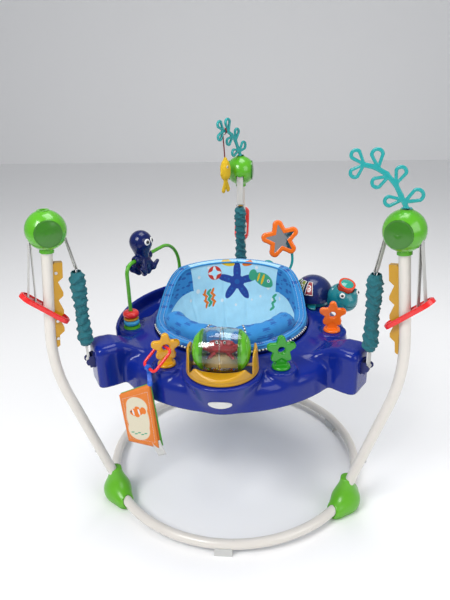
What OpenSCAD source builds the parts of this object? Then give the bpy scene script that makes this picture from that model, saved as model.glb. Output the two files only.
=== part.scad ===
// Baby activity jumper: a round play tray and a spinning seat that hang on
// three sprung straps from a free-standing tube frame.
// Millimetres. Origin: centre of the base ring on the floor, +Z up, +Y to the
// rear leg.

/* [Base ring] */
// Radius of the base ring's centreline
ring_r = 350; // [335:1:420]
// Outer diameter of the frame tubes
tube_d = 25.4; // [20:0.1:30]
// Wall of the frame tubes
tube_wall = 1.6; // [1:0.1:2.5]
// Height of the ring's centreline above the floor
ring_z = 26; // [22:1:34]

/* [Legs] */
// Height of the centre of the ball on top of each leg
head_z = 777; // [700:1:930]
// Outward lean of the lower leg, in degrees
lean_low = 17; // [12:0.5:19]
// Inward lean of the upper leg, in degrees
lean_high = 6; // [4:0.5:8]
// Radius of the bend between the two leans
bend_r = 460; // [380:5:520]
// Height at which the bend starts
bend_z = 360; // [320:5:380]
// Height of the seam between the foot's stub and the leg tube
seam_z = 152; // [130:1:180]

/* [Ball heads] */
// Radius of the ball
ball_r = 45; // [40:0.5:52]
// Distance between the ball's two flat sides
ball_w = 74; // [62:1:84]
// Diameter of the round side caps
cap_d = 60; // [48:1:62]

/* [Height adjuster] */
// Distance between two notches of the rack
notch_pitch = 44; // [38:1:48]
// Number of notches
notch_count = 4; // [3:1:5]
// Width of the webbing
web_w = 20; // [14:1:24]
// Thickness of the webbing
web_t = 1.6; // [1:0.1:2]

/* [Suspension] */
// Radius at which the three spring straps hang
strap_r = 387; // [384:1:394]
// Outer diameter of a spring cover
cover_d = 38; // [34:1:44]
// Length of a spring cover
cover_len = 184; // [150:1:200]
// Diameter of the spring wire
wire_d = 2.6; // [2:0.1:3.2]
// Outer diameter of the spring
spring_d = 22; // [16:1:24]

/* [Tray] */
// Outer radius of the round tray
tray_r = 310; // [300:1:325]
// Radius of the tray's seat opening
tray_in = 204; // [196:1:208]
// Height of the tray's lower edge above the floor
tray_z = 378; // [340:1:400]
// Height of the tray from its lower edge to its inner rim
tray_h = 86; // [76:1:96]
// Wall of the tray moulding
tray_wall = 3.5; // [2.5:0.1:4.5]
// Radius to the end faces of the three arms
arm_r = 375; // [360:1:378]
// Width of an arm
arm_w = 88; // [76:1:96]

/* [Seat] */
// Height of the seat's back above the tray's inner rim
back_h = 112; // [90:1:125]
// Depth of the seat below the tray's inner rim
seat_depth = 196; // [160:1:220]
// Diameter of each leg hole
leg_hole_d = 90; // [70:1:96]

/* [Roller toy] */
// Radius of the roller drum
drum_r = 51; // [44:1:52]
// Length of the clear barrel
barrel_len = 92; // [80:1:96]
// Distance of the drum's axle in front of the tray's centre
drum_y = 257; // [256:1:262]

/* [Toys] */
// Radius of the circle on which the toy sockets stand
socket_r = 266; // [262:1:268]
// Radius of the raised socket under a toy
boss_r = 37; // [33:0.5:40]
// Diameter of the bead arch's wire
arch_d = 10; // [8:0.5:12]
// Height of the arch above the socket
arch_h = 171; // [160:1:185]
// Radius of the turtle's shell
shell_r = 57; // [50:1:58]
// Radius of the mirror star's points
mirror_r = 58; // [48:1:62]

/* [Hidden] */
$fn = 64;

// Directions of the three legs, seen from above
az_rear = 90;
az_left = 210;
az_right = 330;
legs = [az_rear, az_left, az_right];
seat_fit = 0.5; // running clearance round the seat ring
slip = 0.2; // clearance of a tube in its socket

// Leg centreline in its own upright plane: a straight, a bend, a straight
leg_foot_r = ring_r + 1.3;
leg_foot_z = ring_z + tube_d / 2 + 10;
bend_start_r = leg_foot_r + (bend_z - leg_foot_z) * tan(lean_low);
bend_mid_r = bend_start_r - bend_r * cos(lean_low);
bend_mid_z = bend_z + bend_r * sin(lean_low);
bend_end_r = bend_mid_r + bend_r * cos(lean_high);
bend_end_z = bend_mid_z + bend_r * sin(lean_high);
head_r = bend_end_r - (head_z - bend_end_z) * tan(lean_high);
head_up = (head_z - bend_end_z) / cos(lean_high);
leg_top_gap = 20; // from the ball's centre down to the end of the tube

// Children stand in the leg's upright plane, +X outwards
module at_leg(az) {
    rotate([0, 0, az]) children();
}

// Children stand on the straight upper leg, +Z up along it
module on_upper_leg() {
    translate([bend_end_r, 0, bend_end_z]) rotate([0, -lean_high, 0]) children();
}

// Children stand on the straight lower leg at height z, +Z up along it
module on_lower_leg(z) {
    translate([leg_foot_r + (z - leg_foot_z) * tan(lean_low), 0, z])
        rotate([0, lean_low, 0]) children();
}

// A tube of outer diameter d, bore b, along the leg from height z0 to the ball.
// Its three lengths are joined at the bend's ends by a weld bead on the bore.
weld_gap = 0.02;
module weld_bead(b) {
    translate([0, 0, -3]) difference() {
        cylinder(h = 6, d = b + 1);
        translate([0, 0, -1]) cylinder(h = 8, d = b - 1);
    }
}

module leg_tube(d, b, z0, top_gap) {
    low = (bend_z - z0) / cos(lean_low) - weld_gap;
    high = head_up - top_gap;
    on_lower_leg(z0) difference() {
        cylinder(h = low, d = d);
        translate([0, 0, -1]) cylinder(h = low + 2, d = b);
    }
    on_lower_leg(bend_z) weld_bead(b);
    on_upper_leg() weld_bead(b);
    translate([bend_mid_r, 0, bend_mid_z])
        rotate([90, 0, 0])
            rotate([0, 0, -lean_low])
                rotate_extrude(angle = lean_low + lean_high)
                    translate([bend_r, 0]) difference() {
                        circle(d = d);
                        circle(d = b);
                    }
    on_upper_leg() translate([0, 0, weld_gap]) difference() {
        cylinder(h = high, d = d);
        translate([0, 0, -1]) cylinder(h = high + 2, d = b);
    }
}

// A solid rod along the bend and the upper leg, to cut a seat for the rack.
// It is 1 mm looser round the bend.
module leg_rod(d) {
    translate([bend_mid_r, 0, bend_mid_z])
        rotate([90, 0, 0])
            rotate([0, 0, -lean_low])
                rotate_extrude(angle = lean_low + lean_high)
                    translate([bend_r, 0]) circle(d = d + 1);
    on_upper_leg() translate([0, 0, -0.5]) cylinder(h = head_up, d = d);
}

// ---- Base ring: three bent tubes that meet inside the feet ----
tube_gap_deg = 1.4; // half of the gap between two tubes inside a foot
module ring_tube(d, from, sweep) {
    rotate([0, 0, from]) rotate_extrude(angle = sweep)
        translate([ring_r, ring_z]) circle(d = d);
}

module base_tube(from) {
    color("whitesmoke") difference() {
        ring_tube(tube_d, from + tube_gap_deg, 120 - 2 * tube_gap_deg);
        ring_tube(tube_d - 2 * tube_wall, from + tube_gap_deg / 2, 120 - tube_gap_deg);
    }
}
module base_tube_front() { base_tube(az_left); }
module base_tube_left() { base_tube(az_rear); }
module base_tube_right() { base_tube(az_right); }

// Saddles under the middle of each tube
pad_len = 44;
pad_w = 28;
module base_pads() {
    color("gainsboro") for (az = legs) rotate([0, 0, az + 60]) difference() {
        union() {
            translate([ring_r - pad_w / 2, -pad_len / 2, 0]) cube([pad_w, pad_len, ring_z - 4]);
            translate([ring_r - pad_w / 2 + 1.5, -pad_len / 2 + 2, 0]) cube([pad_w - 3, pad_len - 4, ring_z - 1]);
        }
        ring_tube(tube_d + 2 * slip, -10, 20);
    }
}

// ---- Feet: a two-part moulding over the joint of two tubes and a leg ----
foot_split = 13; // height of the seam between sole and cover
foot_top = 104; // height of the collar round the leg
foot_half = 46; // half length along the ring
module foot_form() {
    hull() {
        on_lower_leg(foot_top - 10) cylinder(h = 8, d = tube_d + 8, $fn = 28);
        on_lower_leg(foot_top - 30) translate([3, 0, 0]) sphere(r = 21, $fn = 24);
        translate([ring_r + 11, 0, ring_z - 4]) sphere(r = 27, $fn = 24);
        for (side = [-1, 1])
            translate([ring_r - 2, side * foot_half, ring_z - 7]) sphere(r = 22, $fn = 24);
    }
}

module foot_bores() {
    ring_tube(tube_d + 2 * slip, -20, 40);
    on_lower_leg(leg_foot_z - 1) cylinder(h = 90, d = tube_d + 2 * slip);
}

module foot_covers() {
    color("limegreen") for (az = legs) at_leg(az) difference() {
        intersection() {
            foot_form();
            translate([ring_r - 70, -100, foot_split]) cube([160, 200, 150]);
        }
        foot_bores();
    }
}

module foot_bases() {
    color("forestgreen") for (az = legs) at_leg(az) difference() {
        intersection() {
            foot_form();
            translate([ring_r - 70, -100, 0]) cube([160, 200, foot_split - 0.2]);
        }
        foot_bores();
    }
}

// Lower leg stubs: full size up to the seam, then a spigot inside the leg
spigot_len = 44;
module leg_stubs() {
    color("whitesmoke") for (az = legs) at_leg(az) difference() {
        union() {
            on_lower_leg(leg_foot_z)
                cylinder(h = (seam_z - leg_foot_z) / cos(lean_low), d = tube_d);
            on_lower_leg(seam_z)
                cylinder(h = spigot_len, d = tube_d - 2 * tube_wall - 2 * slip);
        }
        on_lower_leg(leg_foot_z - 1)
            cylinder(h = 200, d = tube_d - 4 * tube_wall - 2 * slip);
        on_lower_leg(seam_z) translate([0, 0, 22])
            rotate([0, 90, 0]) cylinder(h = tube_d, d = button_d + 0.4);
    }
}

button_d = 7;
module snap_buttons() {
    color("silver") for (az = legs) at_leg(az) on_lower_leg(seam_z)
        translate([tube_d / 2 - 6, 0, 22]) rotate([0, 90, 0]) {
            cylinder(h = 7, d = button_d);
            translate([0, 0, 7]) cylinder(h = 1, d1 = button_d, d2 = button_d - 2);
        }
}

module leg(az) {
    color("whitesmoke") at_leg(az) difference() {
        leg_tube(tube_d, tube_d - 2 * tube_wall, seam_z, leg_top_gap);
        on_lower_leg(seam_z) translate([0, 0, 22])
            rotate([0, 90, 0]) cylinder(h = tube_d, d = button_d + 0.4);
    }
}
module leg_left() { leg(az_left); }
module leg_right() { leg(az_right); }
module leg_rear() { leg(az_rear); }

// ---- Racks: notched bars screwed to the inner side of each leg ----
rack_t = 14; // thickness across the leg
spine_x = tube_d / 2 + 8; // from the leg's axis to the front of the spine
tooth_x = tube_d / 2 + 19; // from the leg's axis to the tooth tips
first_notch = -26; // lowest notch, along the upper leg
rack_low = first_notch - 19;
rack_high = first_notch + notch_count * notch_pitch + 12;
function tooth(z) = [[-tooth_x, z - 15], [-tooth_x, z - 24], [-spine_x, z - 34]];
module racks() {
    color("gold") for (az = legs) at_leg(az) difference() {
        on_upper_leg() rotate([90, 0, 0]) linear_extrude(height = rack_t, center = true)
            polygon(concat(
                [[-tube_d / 4, rack_low], [-tube_d / 4, rack_high - 8], [-tube_d / 2 - 2, rack_high]],
                [[-tooth_x, rack_high]],
                [for (i = [notch_count - 1:-1:0], p = tooth(first_notch + (i + 1) * notch_pitch)) 
                    [p[0], min(p[1], rack_high - 6)]],
                [[-spine_x, rack_low + 4], [-spine_x + 4, rack_low]]));
        leg_rod(tube_d + slip);
    }
}

screw_d = 7;
module rack_screws() {
    color("silver") for (az = legs, z = [rack_low + 22, rack_low + 66, rack_high - 24]) at_leg(az)
        on_upper_leg() translate([0, rack_t / 2 + 0.1, z]) translate([-tube_d / 2 - 4, 0, 0])
            rotate([-90, 0, 0]) cylinder(h = 1.8, d = screw_d);
}

// ---- Ball heads: hollow balls that carry the strap over a bar ----
head_wall = 3;
cap_t = 5; // thickness of a side cap
bar_d = 9;
module at_head(az) {
    at_leg(az) translate([head_r, 0, head_z]) children();
}

module heads() {
    color("limegreen") for (az = legs) at_head(az) difference() {
        union() {
            intersection() {
                sphere(r = ball_r);
                cube([3 * ball_r, ball_w, 3 * ball_r], center = true);
            }
            rotate([0, -lean_high, 0]) translate([0, 0, -ball_r - 5]) cylinder(h = 16, d = tube_d + 7);
            translate([0, 0, ball_r - 8]) cylinder(h = 8, d = 26);
        }
        difference() {
            intersection() {
                sphere(r = ball_r - head_wall);
                cube([3 * ball_r, ball_w - 2 * cap_t - 2, 3 * ball_r], center = true);
            }
            rotate([0, -lean_high, 0]) translate([0, 0, -ball_r]) cylinder(h = 2 * ball_r, d = tube_d + 7);
        }
        rotate([0, -lean_high, 0]) translate([0, 0, -ball_r - 6])
            cylinder(h = ball_r + 40, d = tube_d + slip);
        rotate([90, 0, 0]) cylinder(h = 100, d = bar_d + slip, center = true);
        for (side = [-1, 1]) {
            translate([0, side * (ball_w / 2 - cap_t / 2 + 1), 0]) rotate([90, 0, 0])
                cylinder(h = cap_t + 2, d = cap_d + 2 * slip, center = true);
            translate([side * 38, 0, -20]) rotate([0, -side * 8, 0])
                cube([12, web_w + 3, 60], center = true);
        }
        translate([0, 0, ball_r - 9]) cylinder(h = 10, d = plug_d + 2 * slip);
    }
}

module head_caps() {
    color("limegreen") for (az = legs, side = [-1, 1]) at_head(az)
        translate([0, side * (ball_w / 2 - cap_t), 0]) rotate([-side * 90, 0, 0]) {
            cylinder(h = cap_t, d = cap_d);
            intersection() {
                translate([0, 0, cap_t - 104]) sphere(r = 108);
                translate([0, 0, cap_t]) cylinder(h = 8, d = cap_d - 6);
            }
        }
}

module strap_bars() {
    color("silver") for (az = legs) at_head(az) rotate([90, 0, 0])
        cylinder(h = ball_w - 2 * cap_t - 0.4, d = bar_d, center = true);
}

// ---- Seaweed leaves: seven looped leaves on a curved stem ----
plug_d = 14;
leaf_t = 6;
stem_w = 8;
// Stem points and, for each leaf, its foot on the stem and its tip
stem = [[0, 46], [14, 72], [26, 94], [45, 114], [68, 127], [92, 132]];
leaf_ends = [[[8, 58], [-30, 82]], [[10, 64], [48, 58]], [[26, 94], [14, 132]],
    [[40, 110], [74, 90]], [[62, 124], [68, 166]], [[90, 132], [116, 160]], [[90, 132], [116, 106]]];
module stroke(a, b, w) {
    span = norm(b - a);
    translate(a) rotate(atan2(b[1] - a[1], b[0] - a[0])) {
        translate([0, -w / 2]) square([span, w]);
        circle(d = w + 1);
        translate([span, 0]) circle(d = w + 1);
    }
}

// Outline of one leaf from its foot a to its tip b, smaller by inset
module leaf_shape(a, b, inset) {
    span = norm(b - a);
    r = span * 0.32 - inset;
    far = span * 0.68;
    reach = far * r / (span * 0.32);
    taper = asin(0.32 / 0.68) - 1.5; // half angle at the leaf's foot
    meet = reach * sin(taper); // the sides end inside the round tip
    translate(a) rotate(atan2(b[1] - a[1], b[0] - a[0])) {
        translate([far, 0]) circle(r = r);
        polygon([[far - reach, 0],
            [far - meet * sin(taper), meet * cos(taper)],
            [far - meet * sin(taper), -meet * cos(taper)]]);
    }
}

module seaweed() {
    rotate([90, 0, 0]) translate([0, 0, -leaf_t / 2]) linear_extrude(height = leaf_t) difference() {
        union() {
            for (i = [0:len(stem) - 2]) stroke(stem[i], stem[i + 1], stem_w);
            for (e = leaf_ends) leaf_shape(e[0], e[1], 0);
        }
        for (e = leaf_ends) leaf_shape(e[0], e[1], 6);
    }
    translate([0, 0, ball_r - 8.5]) cylinder(h = 9, d = plug_d);
    translate([0, 0, ball_r + 0.2]) cylinder(h = 3, d = 24);
}

// The leaves point inwards, each turned a little about its plug
module leaf_right() { color("mediumturquoise") at_head(az_right) rotate([0, 0, 200]) seaweed(); }
module leaf_rear() { color("mediumturquoise") at_head(az_rear) rotate([0, 0, 150]) seaweed(); }

// ---- Height clips: tilted loops round leg and rack ----
clip_t = 9;
clip_w = 46;
clip_tilt = 36;
bar_w = 9; // width of the bar that hooks the rack
clip_gap = 1.2; // from the tooth tips to that bar
clip_in = -(tooth_x + clip_gap + clip_t / 2 * sin(clip_tilt)) / cos(clip_tilt);
clip_out = (tube_d / 2 + 3 + clip_t / 2 * sin(clip_tilt)) / cos(clip_tilt);
clip_tip = 76;
clip_z = first_notch + notch_pitch - (clip_in - bar_w / 2) * sin(clip_tilt);
slot_t = 5;
slots_at = [clip_out + 17, clip_out + 36];
module stadium(x0, x1, w) {
    translate([x0 + w / 2, -w / 2]) square([x1 - x0 - w, w]);
    for (x = [x0 + w / 2, x1 - w / 2]) translate([x, 0]) circle(d = w);
}

module clip(az) {
    color("crimson") at_leg(az) on_upper_leg() translate([0, 0, clip_z]) rotate([0, -clip_tilt, 0])
        difference() {
            union() {
                linear_extrude(height = clip_t, center = true)
                    stadium(clip_in - bar_w, clip_tip, clip_w);
                translate([0, 0, clip_t / 2 - 0.01]) linear_extrude(height = 2)
                    difference() {
                        stadium(clip_in - bar_w + 3, clip_tip - 3, clip_w - 6);
                        stadium(clip_in - bar_w + 6, clip_tip - 6, clip_w - 12);
                    }
            }
            linear_extrude(height = 3 * clip_t, center = true) {
                stadium(clip_in, clip_out, clip_w - 14);
                for (x = slots_at)
                    translate([x - slot_t / 2, -web_w / 2 - 1]) square([slot_t, web_w + 2]);
            }
        }
}
module clip_left() { clip(az_left); }
module clip_right() { clip(az_right); }
module clip_rear() { clip(az_rear); }

// ---- Webbing, hooks and springs ----
// A flat strap in the leg's plane between two points
module strap(a, b, w, t) {
    span = norm(b - a);
    translate([a[0], 0, a[1]]) rotate([0, 90 - atan2(b[1] - a[1], b[0] - a[0]), 0])
        translate([-t / 2, -w / 2, 0]) cube([t, w, span]);
}

// A point of the clip's plane, in the leg's own plane
function clip_point(u) = let (x = u * cos(clip_tilt), z = clip_z + u * sin(clip_tilt))
    [bend_end_r + x * cos(lean_high) - z * sin(lean_high),
     bend_end_z + x * sin(lean_high) + z * cos(lean_high)];
strap_out = [head_r + ball_r - 3, head_z - 28];
module adjust_straps() {
    color("white") for (az = legs) at_leg(az) for (i = [0, 1])
        strap(clip_point(slots_at[i]) + (clip_t / 2 + 1.2) * [-sin(clip_tilt + lean_high), cos(clip_tilt + lean_high)],
            strap_out + [(i - 1) * 5, -2 * i], web_w, web_t);
}

hook_z = 664; // height of the upper hooks
hook_ring = 9;
strap_in = [head_r - ball_r + 3, head_z - 28];
module hang_straps() {
    color("white") for (az = legs) at_leg(az) for (i = [0, 1])
        strap([strap_r - 3 + i * 6, hook_z + 14], strap_in + [i * 3, 0], web_w, web_t);
}

hook_d = 3.2;
module upper_hooks() {
    half = web_w / 2 + 2.5;
    side = [half - 2, 19]; // the sides end inside the ring below
    color("silver") for (az = legs) at_leg(az) translate([strap_r, 0, hook_z]) {
        translate([0, 0, 16]) rotate([90, 0, 0]) cylinder(h = 2 * half, d = hook_d, center = true);
        for (s = [-1, 1]) {
            translate([0, s * half, 16]) sphere(d = hook_d);
            translate([0, s * half, 16]) rotate([s * (180 - atan2(side[0], side[1])), 0, 0])
                cylinder(h = norm(side), d = hook_d);
        }
        translate([0, 0, -9]) rotate([90, 0, 0])
            rotate_extrude() translate([7, 0]) circle(d = hook_d, $fn = 24);
    }
}

// A coil spring: rings of a wire swept along a helix
turns = 10;
ring_steps = 8; // wire rings in one turn
wire_sides = 5;
spring_top = hook_z - 13;
spring_low = hook_z - cover_len + 34;
function coil_ring(i) = let (a = i * 360 / ring_steps,
    z = spring_low + (spring_top - spring_low) * i / (turns * ring_steps), r = spring_d / 2 - wire_d / 2)
    [for (k = [0:wire_sides - 1]) let (b = k * 360 / wire_sides, q = r + wire_d / 2 * cos(b))
        [q * cos(a), q * sin(a), z + wire_d / 2 * sin(b)]];
module coil_spring() {
    rings = turns * ring_steps + 1;
    points = [for (i = [0:rings - 1], p = coil_ring(i)) p];
    sides = [for (i = [0:rings - 2], k = [0:wire_sides - 1])
        let (n = (k + 1) % wire_sides, a = i * wire_sides)
        [a + k, a + n, a + wire_sides + n, a + wire_sides + k]];
    first = [[for (k = [wire_sides - 1:-1:0]) k]];
    last = [[for (k = [0:wire_sides - 1]) (rings - 1) * wire_sides + k]];
    polyhedron(points = points, faces = concat(sides, first, last));
}
module springs() {
    color("silver") for (az = legs) at_leg(az) translate([strap_r, 0, 0]) coil_spring();
}

// Gathered fabric sleeves over the springs
module spring_covers() {
    color("teal") for (az = legs) at_leg(az) translate([strap_r, 0, hook_z + 2 - cover_len])
        rotate_extrude() difference() {
            union() {
                square([cover_d / 2 - 2, cover_len]);
                for (i = [0:7]) translate([cover_d / 2 - 5, (i + 0.5) * cover_len / 8]) circle(r = 5, $fn = 24);
            }
            translate([-1, -1]) square([cover_d / 2 - 3.5, cover_len + 2]);
            translate([-50, -50]) square([50, 400]);
        }
}

arm_bar_z = tray_z + 62; // height of the bar on the end of each arm
arm_bar_d = 6;
bar_out = strap_r - arm_r; // from the arm's end face to the bar
module tail_straps() {
    color("white") for (az = legs) at_leg(az) translate([strap_r, 0, arm_bar_z]) {
        difference() {
            union() {
                rotate([90, 0, 0]) cylinder(h = web_w, d = arm_bar_d + 4, center = true);
                translate([-1.6, -web_w / 2, 0]) cube([3.2, web_w, spring_low - wire_d / 2 - 0.5 - arm_bar_z]);
            }
            rotate([90, 0, 0]) cylinder(h = 2 * web_w, d = arm_bar_d + 0.4, center = true);
        }
    }
}

module arm_hooks() {
    color("midnightblue") for (az = legs) at_leg(az) translate([arm_r, 0, arm_bar_z]) {
        translate([bar_out, 0, 0]) rotate([90, 0, 0]) cylinder(h = web_w + 4, d = arm_bar_d, center = true);
        for (side = [-1, 1]) translate([0, side * (web_w / 2 + 3), 0]) {
            translate([0.1, -1.9, -14]) cube([bar_out, 3.8, 28]);
            translate([bar_out, 1.9, 0]) rotate([90, 0, 0]) cylinder(h = 3.8, d = 16);
        }
        translate([0.1, -web_w / 2 - 4.9, -16]) cube([3, web_w + 9.8, 32]);
    }
}

// ---- Tray: one thin moulding, open underneath, with ribs ----
rim_z = tray_z + tray_h; // top of the rim round the seat
deck_drop = 22; // fall of the deck from the rim to the outer edge
edge_r = 20; // radius of the outer shoulder
arm_top = rim_z + 20;
arm_len = 50; // length of the block at the end of an arm
arm_corner = 15;
arm_flare = 66; // half width of an arm where it leaves the ring
boss_z = rim_z - 8; // top of a toy socket
pod_z = rim_z - 5; // top of the pod under the roller
pod_r = 92;
pod_low_r = 64;
ledge_z = tray_z + 54; // underside of the ledge that carries the seat ring
ledge_t = 3;
az_yellow = 240;
az_green = 300;
az_orange = 352;
az_arch = 188;
az_arch_end = 130;
az_mirror = 76;
az_turtle = 33;
sockets = [az_yellow, az_green, az_orange, az_arch, az_arch_end, az_mirror];
mound_r = 50; // raised mound under the turtle

function arc(c, r, from, to, n) = [for (i = [0:n]) let (a = from + (to - from) * i / n)
    c + r * [cos(a), sin(a)]];

module at_socket(az) {
    rotate([0, 0, az]) translate([socket_r, 0, 0]) children();
}

// Every form below is drawn once for the outside and once, inset by t, for
// the inside; the difference of the two is the moulded wall.
module ring_form(t) {
    low = t > 0 ? tray_z - 1 : tray_z;
    rotate_extrude($fn = 128) polygon(concat(
        [[tray_in + t, low], [tray_r - t, low]],
        arc([tray_r - 3 - edge_r, rim_z - deck_drop - edge_r], edge_r - t, 0, 75, 6),
        [[tray_in + 14, rim_z - t], [tray_in + 4 + t / 2, rim_z - t - 0.6], [tray_in + t, rim_z - t - 4]]));
}

module arm_plan(t) {
    corner = arm_corner - t;
    side = arm_w / 2 - arm_corner;
    translate([arm_r - arm_len, -side - corner]) square([arm_len - arm_corner, 2 * (side + corner)]);
    translate([arm_r - arm_len, -side]) square([arm_len - t, 2 * side]);
    for (s = [-1, 1]) translate([arm_r - arm_corner, s * side]) circle(r = corner);
}

module flare_plan(t) {
    waist = arm_w / 2 - 7 - t;
    wide = arm_flare - t;
    polygon([[arm_r - arm_len + 8, waist + 6], [arm_r - arm_len - 6, waist], [tray_r - 12, waist],
        [tray_in + 30, wide], [tray_in + 30, -wide], [tray_r - 12, -waist],
        [arm_r - arm_len - 6, -waist], [arm_r - arm_len + 8, -waist - 6]]);
}

module arm_side(t) {
    low = t > 0 ? tray_z - 1 : tray_z + 0.4;
    rotate([90, 0, 0]) linear_extrude(height = 200, center = true) polygon(concat(
        [[tray_in + 29, low], [arm_r - t, low]],
        arc([arm_r - 3 - edge_r, arm_top - edge_r], edge_r - t, 0, 90, 6),
        [[arm_r - arm_len - 8, arm_top - t], [tray_in + 52, rim_z - 12 - t], [tray_in + 29, rim_z - 12 - t]]));
}

module arm_front(t, half, r) {
    rotate([90, 0, 90]) translate([0, 0, tray_in]) linear_extrude(height = arm_r) polygon(concat(
        [[-half + t, tray_z - 1], [half - t, tray_z - 1]],
        arc([half - r, arm_top - r], r - t, 0, 90, 5),
        arc([-half + r, arm_top - r], r - t, 90, 180, 5)));
}

module arm_form(t) {
    intersection() {
        translate([0, 0, tray_z - 1]) linear_extrude(height = 200) arm_plan(t);
        arm_side(t);
        arm_front(t, arm_w / 2, 16);
    }
    intersection() {
        translate([0, 0, tray_z - 1]) linear_extrude(height = 200) flare_plan(t);
        arm_side(t);
        arm_front(t, arm_flare, 30);
    }
}

module pod_form(t) {
    translate([0, -drum_y + 6, tray_z - (t > 0 ? 1 : 0)]) {
        cylinder(h = pod_z - tray_z - 6, r1 = pod_low_r - t, r2 = pod_r - t);
        translate([0, 0, pod_z - tray_z - 6]) cylinder(h = 6 - t, r1 = pod_r - t, r2 = pod_r - 5 - t);
    }
}

module socket_form(t) {
    for (az = sockets) at_socket(az) translate([0, 0, tray_z + 20]) {
        cylinder(h = boss_z - tray_z - 22 - t, r = boss_r - t);
        translate([0, 0, boss_z - tray_z - 22 - t]) cylinder(h = 3, r1 = boss_r - t, r2 = boss_r - 3 - t);
    }
    at_socket(az_turtle) translate([0, 0, tray_z + 20])
        cylinder(h = boss_z - tray_z - 20 - t, r1 = mound_r + 2 - t, r2 = mound_r - 4 - t);
}

// Flat seats for the toys' flanges
module seat_spots(t) {
    for (az = sockets) at_socket(az) translate([0, 0, boss_z - t]) cylinder(h = 100, r = flange_r + 4 + t);
}

// Snack pocket behind the bead arch, with a raised outer rim
pocket_from = az_arch_end + 12;
pocket_sweep = az_arch - az_arch_end - 26;
module pocket(t) {
    edge_deg = asin(t / tray_r);
    rotate([0, 0, pocket_from - edge_deg]) rotate_extrude(angle = pocket_sweep + 2 * edge_deg, $fn = 128)
        polygon([[tray_in + 22 - t, rim_z - 22 - t], [tray_r - 16 + t, rim_z - 30 - t],
            [tray_r - 16 + t, rim_z + 20], [tray_in + 22 - t, rim_z + 20]]);
}

module rim_form(t) {
    rotate([0, 0, az_rear + 14]) rotate_extrude(angle = az_arch - az_rear - 20, $fn = 128)
        polygon(concat([[tray_r - 13 + t, rim_z - 40], [tray_r - 3 - t, rim_z - 40]],
            arc([tray_r - 8, rim_z + 4], 5 - t / 2, 0, 180, 6)));
}

module tray_form(t) {
    difference() {
        union() {
            difference() {
                union() {
                    ring_form(t);
                    socket_form(t);
                    for (az = legs) at_leg(az) arm_form(t);
                }
                pocket(t);
                seat_spots(t);
            }
            pod_form(t);
        }
        translate([0, 0, tray_z - 50]) cylinder(h = 250, r = tray_in + t, $fn = 128);
    }
}

rib_t = 2.4;
rib_low = 26; // from the tray's lower edge up to the ribs
module tray_bores() {
    for (az = sockets) at_socket(az) translate([0, 0, boss_z - 12]) cylinder(h = 20, r = socket_bore);
    translate([0, -drum_y, pod_z - 30]) cylinder(h = 40, r = 12);
}

module tray() {
    color("mediumblue") {
        difference() {
            tray_form(0);
            tray_form(tray_wall);
            tray_bores();
        }
        difference() {
            rim_form(0);
            tray_form(0);
        }
        difference() {
            intersection() {
                tray_form(tray_wall / 2);
                translate([0, 0, tray_z + rib_low]) for (i = [0:11])
                    rotate([0, 0, 15 + i * 30]) translate([tray_in + 1, -rib_t / 2, 0])
                        cube([tray_r - tray_in - 2, rib_t, tray_h]);
            }
            tray_bores();
        }
        rotate_extrude($fn = 128) translate([tray_in - 15, ledge_z]) square([15.5, ledge_t]);
    }
}

// Blank oval badge on the front of the pod
badge_w = 54;
badge_h = 22;
badge_t = 1.6;
pod_lean = atan((pod_r - pod_low_r) / (pod_z - tray_z - 6));
badge_z = tray_z + 33;
module badge() {
    color("ivory") intersection() {
        translate([0, -drum_y + 6, tray_z]) difference() {
            cylinder(h = pod_z - tray_z - 6, r1 = pod_low_r + 0.1 + badge_t, r2 = pod_r + 0.1 + badge_t);
            cylinder(h = pod_z - tray_z - 6, r1 = pod_low_r + 0.1, r2 = pod_r + 0.1);
        }
        translate([0, -drum_y + 6, badge_z]) rotate([90, 0, 0]) linear_extrude(height = 120)
            polygon([for (a = [0:9:351]) [badge_w / 2 * cos(a), badge_h / 2 * sin(a)]]);
    }
}

// ---- Roller: a clear barrel with green ends turns on a fixed figure ----
axle_z = rim_z + 48;
axle_d = 8;
cap_out = 68; // from the middle to the end of a cap
cradle_r = 82;
cradle_h = axle_z - pod_z + 7;
drum_wall = 2;
module on_axle() {
    translate([0, -drum_y, axle_z]) rotate([0, 90, 0]) children();
}

module cradle() {
    color("gold") difference() {
        translate([0, -drum_y + 6, pod_z + 0.1]) {
            cylinder(h = 7, r1 = cradle_r + 2, r2 = cradle_r);
            translate([0, 0, 7]) cylinder(h = cradle_h - 7, r1 = cradle_r, r2 = cradle_r - 3);
        }
        translate([0, -drum_y, axle_z]) rotate([90, 0, 0]) cylinder(h = 300, r = drum_r - 5, center = true);
        on_axle() cylinder(h = 2 * cap_out + 3, r = drum_r + 2.5, center = true);
        on_axle() cylinder(h = 300, d = axle_d + slip, center = true);
        cylinder(h = 900, r = tray_in + 32, $fn = 128);
    }
}

module barrel_outline(r, half) {
    bulge = 5;
    curve_r = (half * half + bulge * bulge) / (2 * bulge);
    swing = asin(half / curve_r);
    polygon(concat([[0, -half]], arc([r - curve_r, 0], curve_r, -swing, swing, 8), [[0, half]]));
}

module drum_barrel() {
    color("azure", 0.35) on_axle() rotate_extrude() difference() {
        barrel_outline(drum_r, barrel_len / 2);
        barrel_outline(drum_r - drum_wall, barrel_len / 2 + 1);
        translate([-1, -barrel_len]) square([drum_r - 12, 2 * barrel_len]);
    }
}

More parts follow.
